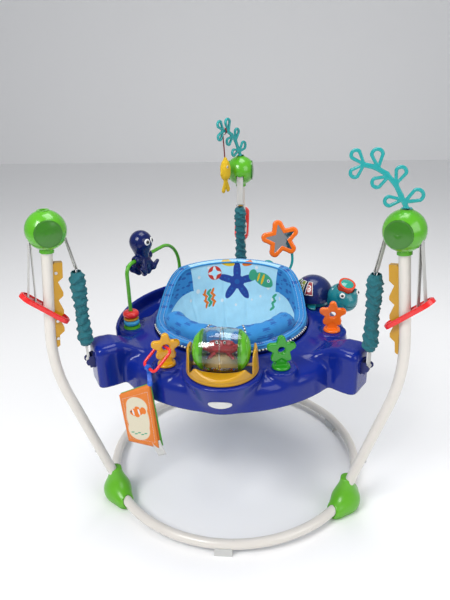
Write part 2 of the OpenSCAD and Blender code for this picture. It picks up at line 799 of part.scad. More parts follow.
cap_depth = cap_out - barrel_len / 2;
module drum_caps() {
    color("limegreen") for (side = [-1, 1]) on_axle() rotate([side > 0 ? 0 : 180, 0, 0])
        translate([0, 0, barrel_len / 2 + 0.1]) rotate_extrude() difference() {
            polygon(concat([[0, 0], [drum_r - 5, 0]],
                arc([drum_r - 5 - cap_depth - 6, 0], cap_depth + 6, 8, asin(cap_depth / (cap_depth + 6)) - 1, 6), [[axle_d + 4, cap_depth], [0, cap_depth]]));
            translate([-1, -1]) square([axle_d / 2 + 0.15 + 1, 2 * cap_depth]);
        }
}

module drum_crab() {
    color("firebrick") {
        on_axle() cylinder(h = 2 * (cradle_r - 6), d = axle_d, center = true);
        translate([0, -drum_y, axle_z + 2]) {
            hull() for (x = [-14, 14]) translate([x, 0, 6]) sphere(r = 15, $fn = 20);
            for (side = [-1, 1]) {
                translate([side * 31, -6, 0]) sphere(r = 9, $fn = 32);
                translate([side * 27, -8, -11]) sphere(r = 10, $fn = 32);
                translate([side * 6.5, -14, 6]) sphere(r = 4.5, $fn = 32);
            }
        }
    }
    color("burlywood") translate([0, -drum_y, axle_z - 26]) intersection() {
        cylinder(h = 24, r1 = 20, r2 = 12);
        translate([0, 0, 26]) rotate([0, 90, 0]) cylinder(h = 80, r = drum_r - 9, center = true);
    }
}

// ---- Star posts: looped stars on a keyed flange ----
socket_bore = 14;
flange_r = 23;
flange_t = 6;
star_t = 10;
star_r = 30; // centre to the middle of a lobe's end circle
lobe_r = 7;
star_hole = 8;
yellow_turn = 45; // each star is turned to face the front
star_z = 45; // from the socket to the star's centre
module star_shape(lobe) {
    difference() {
        union() {
            circle(r = 17);
            for (i = [0:4]) rotate(90 + i * 72) {
                polygon([[8, -13], [star_r - 2, -lobe], [star_r - 2, lobe], [8, 13]]);
                translate([star_r - 2, 0]) circle(r = lobe);
            }
        }
        circle(r = star_hole + (lobe_r - lobe) / 2);
    }
}

module star_post(facing) {
    cylinder(h = flange_t, r1 = flange_r, r2 = flange_r - 3);
    translate([0, 0, -10]) cylinder(h = 11, r = socket_bore - slip);
    rotate([0, 0, facing]) translate([0, 0, star_z]) rotate([90, 0, 90]) {
        linear_extrude(height = star_t, center = true) star_shape(lobe_r);
        linear_extrude(height = star_t + 4, center = true) star_shape(lobe_r - 2.5);
    }
    rotate([0, 0, facing]) translate([-star_t / 2, -17, 1]) cube([star_t, 34, star_z - 28]);
}

module star_at(az, facing) {
    at_socket(az) translate([0, 0, boss_z + 0.1]) difference() {
        star_post(facing);
        rotate([0, 0, facing + 100]) translate([flange_r - 5, -5, -1]) cube([10, 10, flange_t + 2]);
    }
}
module star_yellow() { color("gold") star_at(az_yellow, yellow_turn); }
module star_green() { color("forestgreen") star_at(az_green, -18); }
module star_orange() { color("darkorange") star_at(az_orange, -84); }

// ---- Bead arch ----
arch_a = socket_r * [cos(az_arch), sin(az_arch)];
arch_b = socket_r * [cos(az_arch_end), sin(az_arch_end)];
arch_span = norm(arch_b - arch_a);
arch_az = atan2(arch_b[1] - arch_a[1], arch_b[0] - arch_a[0]);
arch_bend_a = 25;
arch_bend_b = 88;
// Children stand in the arch's upright plane: X along its span from the bead
// socket, Z up from the socket's top
module on_arch() {
    translate([arch_a[0], arch_a[1], boss_z]) rotate([0, 0, arch_az]) children();
}

module arch_bend(r, from) {
    rotate([90, 0, 0]) rotate([0, 0, from]) rotate_extrude(angle = 90)
        translate([r, 0]) circle(d = arch_d, $fn = 32);
}

module arch() {
    color("limegreen") on_arch() {
        for (x = [0, arch_span]) translate([x, 0, 0.1]) {
            difference() {
                cylinder(h = flange_t, r1 = flange_r, r2 = flange_r - 2);
                rotate([0, 0, -30]) translate([flange_r - 5, -5, -1]) cube([10, 10, flange_t + 2]);
            }
            translate([0, 0, -10]) cylinder(h = 11, r = socket_bore - slip);
        }
        cylinder(h = arch_h - arch_bend_a, d = arch_d);
        translate([arch_bend_a, 0, arch_h - arch_bend_a]) arch_bend(arch_bend_a, 90);
        translate([arch_bend_a, 0, arch_h]) rotate([0, 90, 0])
            cylinder(h = arch_span - arch_bend_a - arch_bend_b, d = arch_d);
        translate([arch_span - arch_bend_b, 0, arch_h - arch_bend_b]) arch_bend(arch_bend_b, 0);
        translate([arch_span, 0, 0]) cylinder(h = arch_h - arch_bend_b, d = arch_d);
    }
}

bead_gap = 0.4;
blue_h = 15;
yellow_h = 6;
red_h = 18;
blue_z = flange_t + 0.6;
yellow_z = blue_z + blue_h + bead_gap;
red_z = yellow_z + yellow_h + bead_gap;
module bead(r, h, round) {
    rotate_extrude() difference() {
        union() {
            translate([0, round]) square([r, h - 2 * round]);
            square([r - round, h]);
            for (z = [round, h - round]) translate([r - round, z]) circle(r = round, $fn = 32);
        }
        translate([-1, -1]) square([arch_d / 2 + 0.5 + 1, h + 2]);
        translate([-100, -1]) square([100, h + 2]);
    }
}
module bead_red() { color("red") on_arch() translate([0, 0, red_z]) bead(21, red_h, 8.9); }
module bead_yellow() { color("yellow") on_arch() translate([0, 0, yellow_z]) bead(20, yellow_h, 2.9); }
module bead_blue() { color("lightblue") on_arch() translate([0, 0, blue_z]) bead(21, blue_h, 7.4); }

// Octopus that spins on the straight top of the arch
octo_x = arch_bend_a + 48;
octo_head_r = 31;
grip_r = 13;
grip_x = 27;
module octopus() {
    $fn = 36;
    bore_d = arch_d + 1;
    color("mediumblue") on_arch() translate([octo_x, 0, arch_h]) difference() {
        union() {
            translate([0, 0, 41]) sphere(r = octo_head_r);
            rotate([0, 90, 0]) cylinder(h = 2 * grip_x, d = 21, center = true);
            cylinder(h = 30, r1 = 17, r2 = 14);
            for (side = [-1, 1]) {
                translate([side * grip_x, 0, 0]) sphere(r = grip_r);
                translate([side * 17, 0, -26]) rotate([90, 0, 0]) cylinder(h = 18, r = 16, center = true);
            }
            translate([0, 6, -34]) rotate([90, 0, 0]) cylinder(h = 16, r = 15, center = true);
            translate([0, 0, -14]) sphere(r = 17);
        }
        rotate([0, 90, 0]) cylinder(h = 120, d = bore_d, center = true);
    }
}

// ---- Turtle with three sound keys and a light button ----
shell_z = boss_z + 22; // height of the shell's rim
shell_up = 8; // the shell's centre above its rim
key_azs = [196, 224, 254]; // directions of the keys on the shell
key_tilt = 50; // keys face this far down from straight up
key_t = 5;
key_travel = 2.5;
head_turn = -38; // direction of the turtle's head
turtle_head_r = 42;
module at_turtle() {
    at_socket(az_turtle) rotate([0, 0, -az_turtle]) children();
}

// Children stand on the shell over a key, +Z straight out
module on_key(az) {
    at_turtle() translate([0, 0, shell_z]) rotate([0, 0, az]) rotate([0, key_tilt, 0]) children();
}

module key_shape(inset) {
    polygon([[-18 + inset, -6 + inset], [-18 + inset, 6 - inset], [22 - inset, 12 - inset], [22 - inset, -12 + inset]]);
}

module key(i) {
    intersection() {
        on_key(key_azs[i]) translate([0, 0, shell_r - 9]) linear_extrude(height = 20) key_shape(0.5);
        at_turtle() translate([0, 0, shell_z]) sphere(r = shell_r + key_travel + 1);
    }
}
module key_1() { color("green") key(0); }
module key_2() { color("olive") key(1); }
module key_3() { color("darkred") key(2); }

module turtle_shell() {
    color("darkblue") difference() {
        at_turtle() translate([0, 0, shell_z]) difference() {
            union() {
                sphere(r = shell_r);
                cylinder(h = 9, r = shell_r + 2, center = true);
            }
            translate([0, 0, -101]) cylinder(h = 96, r = 100);
            translate([0, 0, -5.1]) cylinder(h = 12, r = shell_r - 6);
        }
        for (i = [0:2]) on_key(key_azs[i]) translate([0, 0, shell_r - 9 - key_travel - 0.5])
            linear_extrude(height = 30) key_shape(0);
    }
}

module turtle_base() {
    color("darkcyan") difference() {
        turtle_body();
        deck_cut();
    }
}

// All that lies below the deck or over the seat opening
module deck_cut() {
    cylinder(h = 900, r = tray_in + 3, $fn = 128);
    rotate_extrude($fn = 128) polygon([[0, 0], [tray_r + 90, 0], [tray_r + 90, rim_z - deck_drop - edge_r],
        [tray_r - 3 - edge_r, rim_z - deck_drop + 3], [tray_in + 14, rim_z + 0.3], [0, rim_z + 0.3]]);
}

module turtle_body() {
    at_turtle() translate([0, 0, boss_z + 0.1]) {
        cylinder(h = shell_z - boss_z - 5.4, r1 = shell_r - 14, r2 = shell_r - 5);
        for (a = [head_turn - 62, head_turn + 62, head_turn + 150, head_turn - 150])
            rotate([0, 0, a]) translate([shell_r - 12, 0, 2]) rotate([0, 12, 0]) linear_extrude(height = 9)
                stadium(-6, 34, 26);
        rotate([0, 0, head_turn]) translate([0, 0, shell_z - boss_z - 13.7]) rotate([0, 90, 0])
            cylinder(h = shell_r + 2, r = 8);
    }
}

// Children stand at the turtle's head, +X the way it looks
head_out = shell_r + 40;
head_lift = shell_z + 22;
module at_turtle_head() {
    at_turtle() rotate([0, 0, head_turn]) translate([head_out, 0, head_lift]) rotate([0, 0, -22]) children();
}

module turtle_head() {
    color("teal") difference() {
        union() {
            at_turtle_head() {
                intersection() {
                    sphere(r = turtle_head_r);
                    translate([0, 0, 2]) cube([2 * turtle_head_r, 2 * turtle_head_r, 68], center = true);
                }
                translate([22, 0, -10]) sphere(r = 27);
            }
            at_turtle() rotate([0, 0, head_turn]) translate([shell_r + 3, 0, head_lift - 16])
                rotate([0, 80, 0]) cylinder(h = 22, r = 15);
        }
        at_turtle() translate([0, 0, shell_z]) sphere(r = shell_r + 0.6);
        on_light() translate([0, 0, -8]) {
            cylinder(h = 24.2, r1 = light_r + 3.2, r2 = light_r + 6.2);
            translate([0, 0, 24]) cylinder(h = 40, r = light_r + 6.2);
        }
    }
}

light_r = 17;
light_travel = 2.5;
module on_light() {
    at_turtle_head() rotate([0, 24, 0]) translate([0, 0, turtle_head_r - 12]) children();
}

module light_collar() {
    color("orangered") on_light() difference() {
        translate([0, 0, -7.8]) cylinder(h = 24, r1 = light_r + 3, r2 = light_r + 6);
        translate([0, 0, -4]) cylinder(h = 40, r = light_r + 0.5);
    }
}

module light_lens() {
    color("turquoise") on_light() intersection() {
        translate([0, 0, -4 + light_travel + 0.3]) cylinder(h = 30, r = light_r);
        translate([0, 0, -20]) sphere(r = 40);
    }
}

// ---- Mirror star on a curved, sprung stalk ----
stalk_d = 8;
stalk_sides = 8;
mirror_t = 16;
// The stalk stays in a plane that faces the front: points [x, z] above its socket
stalk = [[0, 0], [0, 26], [2, 50], [10, 70], [26, 80], [42, 72], [52, 54], [66, 42], [84, 44],
    [96, 58], [101, 78], [100, 96], [99, 104]];
mirror_at = [64, 152];
// One round of corner cutting makes the hand-set route smooth
function smooth(p) = concat([p[0]], [for (i = [0:len(p) - 2]) each [p[i] * 0.75 + p[i + 1] * 0.25,
    p[i] * 0.25 + p[i + 1] * 0.75]], [p[len(p) - 1]]);
stalk_path = smooth(stalk);
module flat_sweep(path, d) {
    n = len(path);
    points = [for (i = [0:n - 1]) let (a = path[max(i - 1, 0)], b = path[min(i + 1, n - 1)],
        along = (b - a) / norm(b - a), side = [-along[1], along[0]])
        for (k = [0:stalk_sides - 1]) let (w = k * 360 / stalk_sides)
            [path[i][0] + d / 2 * cos(w) * side[0], d / 2 * sin(w), path[i][1] + d / 2 * cos(w) * side[1]]];
    sides = [for (i = [0:n - 2], k = [0:stalk_sides - 1]) let (m = (k + 1) % stalk_sides, a = i * stalk_sides)
        [a + k, a + m, a + stalk_sides + m, a + stalk_sides + k]];
    first = [[for (k = [stalk_sides - 1:-1:0]) k]];
    last = [[for (k = [0:stalk_sides - 1]) (n - 1) * stalk_sides + k]];
    polyhedron(points = points, faces = concat(sides, first, last));
}

module at_stalk() {
    at_socket(az_mirror) rotate([0, 0, -az_mirror]) translate([0, 0, boss_z + 0.1]) children();
}

module mirror_stalk() {
    color("lightseagreen") at_stalk() {
        cylinder(h = flange_t, r1 = flange_r, r2 = flange_r - 2);
        translate([0, 0, -10]) cylinder(h = 11, r = socket_bore - slip);
        translate([0, 0, 3]) flat_sweep(stalk_path, stalk_d);
    }
}

module mirror_star(k) {
    for (i = [0:4]) rotate(100 + i * 72) {
        polygon([[0, -20 * k], [mirror_r * k - 9, -9 * k], [mirror_r * k - 9, 9 * k], [0, 20 * k]]);
        translate([mirror_r * k - 9 * k, 0]) circle(r = 9 * k);
    }
    circle(r = 27 * k);
}

// Children stand on the mirror's back, +Z towards the front of the tray
module on_mirror() {
    at_stalk() translate([mirror_at[0], -3, mirror_at[1]]) rotate([0, 0, 10]) rotate([80, 0, 0]) children();
}

module mirror_frame() {
    color("darkorange") on_mirror() difference() {
        linear_extrude(height = mirror_t, center = true) mirror_star(1);
        translate([0, 0, mirror_t / 2 - 4]) linear_extrude(height = 10) mirror_star(0.78);
        translate([0, 0, -mirror_t / 2 - 1]) linear_extrude(height = 8) mirror_star(0.8);
    }
}

module mirror() {
    color("silver") on_mirror() translate([0, 0, mirror_t / 2 - 3.9]) linear_extrude(height = 1.5)
        mirror_star(0.76);
}

// ---- Seat: a ring that spins in the tray and the fabric hung in it ----
ring_out = tray_in - seat_fit;
ring_wall_r = tray_in - 14;
ring_top = rim_z + 5;
module seat_ring() {
    color("mediumblue") rotate_extrude($fn = 128) {
        translate([ring_wall_r, ledge_z + ledge_t + seat_fit]) square([ring_out - ring_wall_r, 3]);
        translate([ring_wall_r, ledge_z + ledge_t + seat_fit]) square([4, ring_top - ledge_z - ledge_t - seat_fit]);
        translate([ring_wall_r, ring_top - 3]) square([ring_out - ring_wall_r, 3]);
    }
}

fabric_out = tray_in - 3; // outer radius of the fabric above the ring
fabric_t = 24; // padded thickness of the seat's upper wall
front_h = 18; // height of the seat's front above the rim
floor_z = rim_z - seat_depth;
floor_r = 116;
cloth_t = 6;
back_slope = atan((back_h - front_h) / (2 * fabric_out));
module seat_cut() {
    translate([0, -fabric_out, rim_z + front_h]) rotate([back_slope, 0, 0])
        translate([-300, -100, 0]) cube([600, 600, 300]);
}

module seat_fabric() {
    top = rim_z + back_h + 20;
    color("lightskyblue") difference() {
        rotate_extrude($fn = 128) polygon([
            [0, floor_z], [floor_r, floor_z], [floor_r + 36, floor_z + 110],
            [ring_wall_r - 1, ledge_z + 4], [ring_wall_r - 1, ring_top + 0.3],
            [fabric_out, ring_top + 0.3], [fabric_out - 2, rim_z + 50], [fabric_out - 10, top],
            [fabric_out - 10 - fabric_t, top], [fabric_out - 8 - fabric_t, rim_z + 50],
            [fabric_out - 11 - fabric_t, rim_z], [floor_r + 24, floor_z + 112],
            [floor_r - 8, floor_z + cloth_t], [0, floor_z + cloth_t]]);
        seat_cut();
        for (side = [-1, 1]) translate([side * (leg_hole_d / 2 + 14), -26, floor_z - 10])
            cylinder(h = 40, d = leg_hole_d);
    }
}

// Padded roll along the front of the seat
bolster_r = 21;
module seat_bolsters() {
    color("cornflowerblue") for (from = [202, 273]) rotate([0, 0, from])
        rotate_extrude(angle = 65) translate([fabric_out - fabric_t - 12 - bolster_r, rim_z + 10]) circle(r = bolster_r);
}

// ---- Link, clip and cloth book on the yellow star ----
link_d = 7;
link_w = 52;
link_len = 62;
link_corner = 10;
link_twist = 25; // the link's near bar crosses the star's hole at this angle
link_drop = 40; // it leans down to the socket's edge at this angle
link_az = az_yellow + yellow_turn + link_twist - 90;
star_mid = [socket_r * cos(az_yellow), socket_r * sin(az_yellow), boss_z + 0.1 + star_z];

// Children stand at the star's hole, +X along the link to its far bar
module on_link() {
    translate(star_mid) rotate([0, 0, link_az]) rotate([0, link_drop, 0]) children();
}

module link_bend() {
    rotate_extrude(angle = 90) translate([link_corner, 0]) circle(d = link_d, $fn = 32);
}

module toy_link() {
    long = link_len - 2 * link_corner;
    wide = link_w - 2 * link_corner;
    color("red") on_link() translate([link_len / 2, 0, 0]) for (turn = [0, 180]) rotate([0, 0, turn]) {
        translate([long / 2, wide / 2, 0]) link_bend();
        translate([long / 2, -wide / 2, 0]) rotate([0, 0, -90]) link_bend();
        translate([-long / 2, link_w / 2, 0]) rotate([0, 90, 0]) cylinder(h = long, d = link_d, $fn = 32);
        translate([link_len / 2, -wide / 2, 0]) rotate([-90, 0, 0]) cylinder(h = wide, d = link_d, $fn = 32);
    }
}

// The link's far bar, and the top edge of the book below it
link_end = star_mid + link_len * [cos(link_drop) * cos(link_az), cos(link_drop) * sin(link_az), -sin(link_drop)];
book_at = [-195, -284]; // middle of the cloth book, as it hangs outside the tray
book_turn = -8;
book_t = 14;
// Outline of the soft book: across and up, from its hanging corner
book_shape = [[33, 437], [-44, 400], [-33, 272], [43, 263]];
clip_ring = link_d / 2 + 1;
book_hang = [book_at[0] + 33 * cos(book_turn), book_at[1] + 33 * sin(book_turn), 437];
knot_r = 3.6;
book_knot = link_end - [0, 0, clip_ring + 4]; // where the strap leaves the ring, under the link's bar
module book_clip() {
    run = book_hang - book_knot;
    flat = norm([run[0], run[1]]);
    color("royalblue") {
        translate(link_end) rotate([0, 0, link_az]) rotate([90, 0, 0]) difference() {
            cylinder(h = 13, r = clip_ring + 3, center = true);
            cylinder(h = 20, r = clip_ring, center = true);
        }
        translate(book_knot) sphere(r = knot_r, $fn = 32);
        translate(book_knot) rotate([0, 0, atan2(run[1], run[0])]) rotate([0, 90 - atan2(run[2], flat), 0])
            translate([-2.5, -5, 0]) cube([5, 10, norm(run)]);
        translate(book_hang) sphere(r = 6.5, $fn = 32);
    }
}

module book() {
    color("sandybrown") difference() {
        translate(book_at) rotate([0, 0, book_turn]) rotate([90, 0, 0])
            linear_extrude(height = book_t, center = true) polygon(book_shape);
        translate(book_hang) sphere(r = 7, $fn = 32);
        translate(book_hang) translate([-20, -40, -2]) cube([40, 80, 20]);
    }
}

// ---- Plush fish on a ribbon looped over the rear leaf's stem ----
ribbon_u = 83; // where the loop sits, along the leaf
ribbon_w = 130.1;
ribbon_ring = 7;
ribbon_len = 66;
fish_len = 112;
fish_w = 46;
fish_t = 30;
module fish() {
    color("gold") at_head(az_rear) rotate([0, 0, 150]) translate([ribbon_u, 0, ribbon_w]) {
        rotate([0, 90, 0]) difference() {
            cylinder(h = 6, r = ribbon_ring + 1.4, center = true);
            cylinder(h = 12, r = ribbon_ring, center = true);
        }
        translate([-3, -ribbon_ring - 1.4, -ribbon_len - ribbon_ring]) cube([6, 1.4, ribbon_len + ribbon_ring]);
        translate([0, -2, -ribbon_len - ribbon_ring - 4]) {
            translate([0, 0, -fish_w / 2]) rotate([90, 0, 0]) cylinder(h = fish_t - 8, r = fish_w / 2, center = true);
            translate([0, 0, -fish_w]) rotate([90, 0, 0]) cylinder(h = fish_t, r = fish_w / 2 - 3, center = true);
            translate([0, 0, -fish_len + 30]) rotate([90, 0, 0]) cylinder(h = 14, r = 12, center = true);
            translate([-16, -5, -fish_len]) cube([32, 10, 30]);
        }
    }
}

// ---- What is drawn ----
base_tube_front();
base_tube_left();
base_tube_right();
base_pads();
foot_covers();
foot_bases();
leg_stubs();
snap_buttons();
leg_left();
leg_right();
leg_rear();
racks();
rack_screws();
heads();
head_caps();
strap_bars();
leaf_right();
leaf_rear();
clip_left();
clip_right();
clip_rear();
adjust_straps();
hang_straps();
upper_hooks();
springs();
spring_covers();
tail_straps();
arm_hooks();
tray();
badge();
cradle();
star_yellow();
star_green();
star_orange();
arch();
bead_red();
bead_yellow();
bead_blue();
octopus();
turtle_shell();
turtle_base();
turtle_head();
light_collar();
light_lens();
key_1();
key_2();
key_3();
mirror_stalk();
mirror_frame();
mirror();
drum_barrel();
drum_caps();
drum_crab();
seat_ring();
seat_fabric();
seat_bolsters();
toy_link();
book_clip();
book();
fish();
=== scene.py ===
import math

import bpy
import numpy as np
from mathutils import Matrix, Vector


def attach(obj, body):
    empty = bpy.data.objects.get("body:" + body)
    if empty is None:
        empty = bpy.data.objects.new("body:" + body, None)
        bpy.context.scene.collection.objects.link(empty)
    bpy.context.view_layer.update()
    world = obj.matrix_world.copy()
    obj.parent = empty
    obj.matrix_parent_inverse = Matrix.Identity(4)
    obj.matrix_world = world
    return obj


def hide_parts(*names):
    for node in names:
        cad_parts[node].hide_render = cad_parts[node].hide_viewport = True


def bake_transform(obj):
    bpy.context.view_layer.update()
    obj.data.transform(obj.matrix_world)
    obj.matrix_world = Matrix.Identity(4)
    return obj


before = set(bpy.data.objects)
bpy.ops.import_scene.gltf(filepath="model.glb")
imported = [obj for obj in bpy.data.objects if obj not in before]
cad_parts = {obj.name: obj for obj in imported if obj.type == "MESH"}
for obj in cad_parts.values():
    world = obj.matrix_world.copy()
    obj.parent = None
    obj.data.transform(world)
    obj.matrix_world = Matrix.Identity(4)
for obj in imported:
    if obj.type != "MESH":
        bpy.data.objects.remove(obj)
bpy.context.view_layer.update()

# ---- Room, light and camera ----
# The jumper stands on a pale floor in front of a pale wall, under soft studio
# light, and is seen from the front, from a little above the tray.
MM = 0.001
camera_at = Vector((0.12624, -1.37013, 1.12176))
camera_yaw = math.radians(-5.9235)
camera_down = math.radians(23.5944)
camera_roll = math.radians(-1.6215)
ahead = Vector((math.sin(camera_yaw) * math.cos(camera_down),
                math.cos(camera_yaw) * math.cos(camera_down), -math.sin(camera_down)))
level = Vector((math.cos(camera_yaw), -math.sin(camera_yaw), 0))
above = level.cross(ahead)
to_right = math.cos(camera_roll) * level + math.sin(camera_roll) * above
to_top = -math.sin(camera_roll) * level + math.cos(camera_roll) * above
camera = bpy.data.objects.new("camera", bpy.data.cameras.new("camera"))
camera.data.lens = 34.07
camera.data.sensor_width = 36
camera.matrix_world = Matrix((to_right, to_top, -ahead)).transposed().to_4x4()
camera.location = camera_at
bpy.context.scene.collection.objects.link(camera)
bpy.context.scene.camera = camera


def new_object(name, points, faces, *materials, smooth=True):
    """A mesh object from points in metres."""
    mesh = bpy.data.meshes.new(name)
    mesh.from_pydata([tuple(p) for p in points], [], [tuple(f) for f in faces])
    mesh.validate()
    for material in materials:
        mesh.materials.append(material)
    if smooth:
        mesh.shade_smooth()
    piece = bpy.data.objects.new(name, mesh)
    bpy.context.scene.collection.objects.link(piece)
    return piece


def plain(name, color, roughness):
    """A material of one colour."""
    material = bpy.data.materials.new(name)
    material.use_nodes = True
    shader = material.node_tree.nodes["Principled BSDF"]
    shader.inputs["Base Color"].default_value = (*color, 1)
    shader.inputs["Roughness"].default_value = roughness
    return material


floor_half, wall_back, wall_height = 9.0, 5.0, 6
floor = new_object("floor", [(-floor_half, -floor_half, 0), (floor_half, -floor_half, 0),
                             (floor_half, wall_back, 0), (-floor_half, wall_back, 0),
                             (floor_half, wall_back, wall_height), (-floor_half, wall_back, wall_height)],
                   [(0, 1, 2, 3), (3, 2, 4, 5)], plain("pale floor", (0.94, 0.94, 0.94), 0.8), smooth=False)


def soft_light(name, place, aim, size, power):
    """A square area light, aimed at a point."""
    lamp = bpy.data.objects.new(name, bpy.data.lights.new(name, "AREA"))
    lamp.data.size = size
    lamp.data.energy = power
    lamp.matrix_world = (Vector(aim) - Vector(place)).to_track_quat("-Z", "Y").to_matrix().to_4x4()
    lamp.location = place
    bpy.context.scene.collection.objects.link(lamp)


soft_light("key light", (-1.3, -1.9, 2.7), (0, 0, 0.45), 1.3, 66)
soft_light("fill light", (2.1, -1.5, 1.8), (0, 0, 0.45), 1.8, 26)
soft_light("top light", (0.2, 0.5, 3.2), (0, 0, 0.4), 1.6, 38)
bpy.context.scene.view_settings.view_transform = "Standard"
room = bpy.data.worlds.new("room")
bpy.context.scene.world = room
room.use_nodes = True
room.node_tree.nodes["Background"].inputs["Color"].default_value = (0.93, 0.95, 1, 1)
room.node_tree.nodes["Background"].inputs["Strength"].default_value = 0.36

# ---- Frame tubes, stubs and rack screws ----
# Bent steel tube with a white powder coat, which shows a fine orange peel. The
# legs slip over stubs in the feet and are held by a sprung steel button.


def finish(name, color, roughness, grain=900, depth=0.00003, shade=0.04, wear=0.06, metal=0.0,
           coat=0.0, clear=0.0, far=None, shine=0.5):
    """A moulded, painted or metal surface: two noises vary its colour and gloss, and a finer one
    gives its skin. Colours run from color to far, or to a slightly darker shade of color."""
    material = plain(name, color, roughness)
    tree = material.node_tree
    shader = tree.nodes["Principled BSDF"]
    shader.inputs["Metallic"].default_value = metal
    shader.inputs["Specular IOR Level"].default_value = shine
    shader.inputs["Coat Weight"].default_value = coat
    shader.inputs["Coat Roughness"].default_value = 0.08
    shader.inputs["Transmission Weight"].default_value = clear
    place = tree.nodes.new("ShaderNodeTexCoord")
    broad = tree.nodes.new("ShaderNodeTexNoise")
    broad.inputs["Scale"].default_value = 14
    broad.inputs["Detail"].default_value = 5
    tree.links.new(place.outputs["Object"], broad.inputs["Vector"])
    tint = tree.nodes.new("ShaderNodeMix")
    tint.data_type = "RGBA"
    tint.inputs["A"].default_value = (*color, 1)
    tint.inputs["B"].default_value = (*(far or [c * (1 - 2 * shade) for c in color]), 1)
    tree.links.new(broad.outputs["Fac"], tint.inputs["Factor"])
    tree.links.new(tint.outputs["Result"], shader.inputs["Base Color"])
    smear = tree.nodes.new("ShaderNodeTexNoise")
    smear.inputs["Scale"].default_value = 42
    smear.inputs["Detail"].default_value = 6
    tree.links.new(place.outputs["Object"], smear.inputs["Vector"])
    gloss = tree.nodes.new("ShaderNodeMapRange")
    gloss.inputs["To Min"].default_value = max(0.02, roughness - wear)
    gloss.inputs["To Max"].default_value = min(1, roughness + wear)
    tree.links.new(smear.outputs["Fac"], gloss.inputs["Value"])
    tree.links.new(gloss.outputs["Result"], shader.inputs["Roughness"])
    skin = tree.nodes.new("ShaderNodeTexNoise")
    skin.inputs["Scale"].default_value = grain
    skin.inputs["Detail"].default_value = 2
    tree.links.new(place.outputs["Object"], skin.inputs["Vector"])
    bump = tree.nodes.new("ShaderNodeBump")
    bump.inputs["Distance"].default_value = depth
    bump.inputs["Strength"].default_value = 1
    tree.links.new(skin.outputs["Fac"], bump.inputs["Height"])
    tree.links.new(bump.outputs["Normal"], shader.inputs["Normal"])
    return material


def dress(material, *nodes):
    """Gives CAD nodes a material."""
    for node in nodes:
        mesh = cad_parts[node].data
        mesh.materials.clear()
        mesh.materials.append(material)


powder_coat = finish("white powder coat", (0.76, 0.72, 0.66), 0.30, grain=700, depth=0.00005, coat=0.3)
zinc = finish("zinc plated steel", (0.62, 0.62, 0.63), 0.28, grain=1500, depth=0.00002, wear=0.12,
              metal=1.0)
saddle_rubber = finish("grey saddle plastic", (0.62, 0.62, 0.60), 0.55, grain=1200, depth=0.00004)
dress(powder_coat, "base_tube_front", "base_tube_left", "base_tube_right", "leg_stubs",
      "leg_left", "leg_right", "leg_rear")
dress(zinc, "snap_buttons", "rack_screws", "strap_bars", "upper_hooks")
dress(saddle_rubber, "base_pads")

# ---- Feet ----
# Each foot is a teardrop-shaped nylon cover over a slightly darker sole, closed
# round the joint of two ring tubes and the stub of a leg.


def skin(field, low, high, step, rounds=7):
    """Points and quads of the closed surface where field(x, y, z) is 0, in mm; it is negative inside.
    One point stands in each grid cell that the surface crosses, and is then drawn onto it."""
    axes = [np.arange(a, b + step, step) for a, b in zip(low, high)]
    inside = field(*np.meshgrid(*axes, indexing="ij")) < 0
    cells = np.array(inside.shape) - 1
    count = sum(inside[i:cells[0] + i, j:cells[1] + j, k:cells[2] + k].astype(np.int8)
                for i in (0, 1) for j in (0, 1) for k in (0, 1))
    crossed = (count > 0) & (count < 8)
    index = np.full(cells, -1)
    index[crossed] = np.arange(crossed.sum())
    middle = np.array(low) + (np.argwhere(crossed) + 0.5) * step
    points = middle.copy()
    for _ in range(rounds):
        x, y, z = points.T
        h = 0.1 * step
        slope = np.stack([field(x + h, y, z) - field(x - h, y, z), field(x, y + h, z) - field(x, y - h, z),
                          field(x, y, z + h) - field(x, y, z - h)], axis=1) / (2 * h)
        move = -(field(x, y, z) / np.maximum((slope ** 2).sum(axis=1), 0.05))[:, None] * slope
        points = middle + np.clip(points + move - middle, -0.75 * step, 0.75 * step)
    quads = []
    for a in range(3):
        b, c = (a + 1) % 3, (a + 2) % 3
        first, second = [slice(None)] * 3, [slice(None)] * 3
        first[a], second[a] = slice(0, -1), slice(1, None)
        first[b] = second[b] = first[c] = second[c] = slice(1, -1)
        here = inside[tuple(first)]
        node = np.argwhere(here != inside[tuple(second)])
        out = here[tuple(node.T)]
        node[:, b] += 1
        node[:, c] += 1
        ring = []
        for back_b, back_c in ((1, 1), (0, 1), (0, 0), (1, 0)):
            cell = node.copy()
            cell[:, b] -= back_b
            cell[:, c] -= back_c
            ring.append(index[tuple(cell.T)])
        quad = np.stack(ring, axis=1)
        quad[~out] = quad[~out][:, ::-1]
        quads.append(quad)
    return points, np.concatenate(quads)


def ball(x, y, z, centre, radius):
    """A ball round a centre."""
    return np.sqrt((x - centre[0]) ** 2 + (y - centre[1]) ** 2 + (z - centre[2]) ** 2) - radius


def rod(x, y, z, a, b, radius_a, radius_b):
    """A bar with round ends from a to b, its radius changing evenly."""
    a, b = np.array(a, float), np.array(b, float)
    along = ((x - a[0]) * (b - a)[0] + (y - a[1]) * (b - a)[1] + (z - a[2])
             * (b - a)[2]) / ((b - a) @ (b - a))
    along = np.clip(along, 0, 1)
    gap = np.sqrt(sum((p - (a[i] + along * (b - a)[i])) ** 2 for i, p in enumerate((x, y, z))))
    return gap - (radius_a + along * (radius_b - radius_a))


def join(a, b, soft):
    """Both forms, with a fillet of about the size soft between them."""
    share = np.clip(0.5 + 0.5 * (b - a) / soft, 0, 1)
    return b + (a - b) * share - soft * share * (1 - share)


def cut(a, b, soft):
    """The first form less the second, with an eased edge."""
    return -join(-a, b, soft)


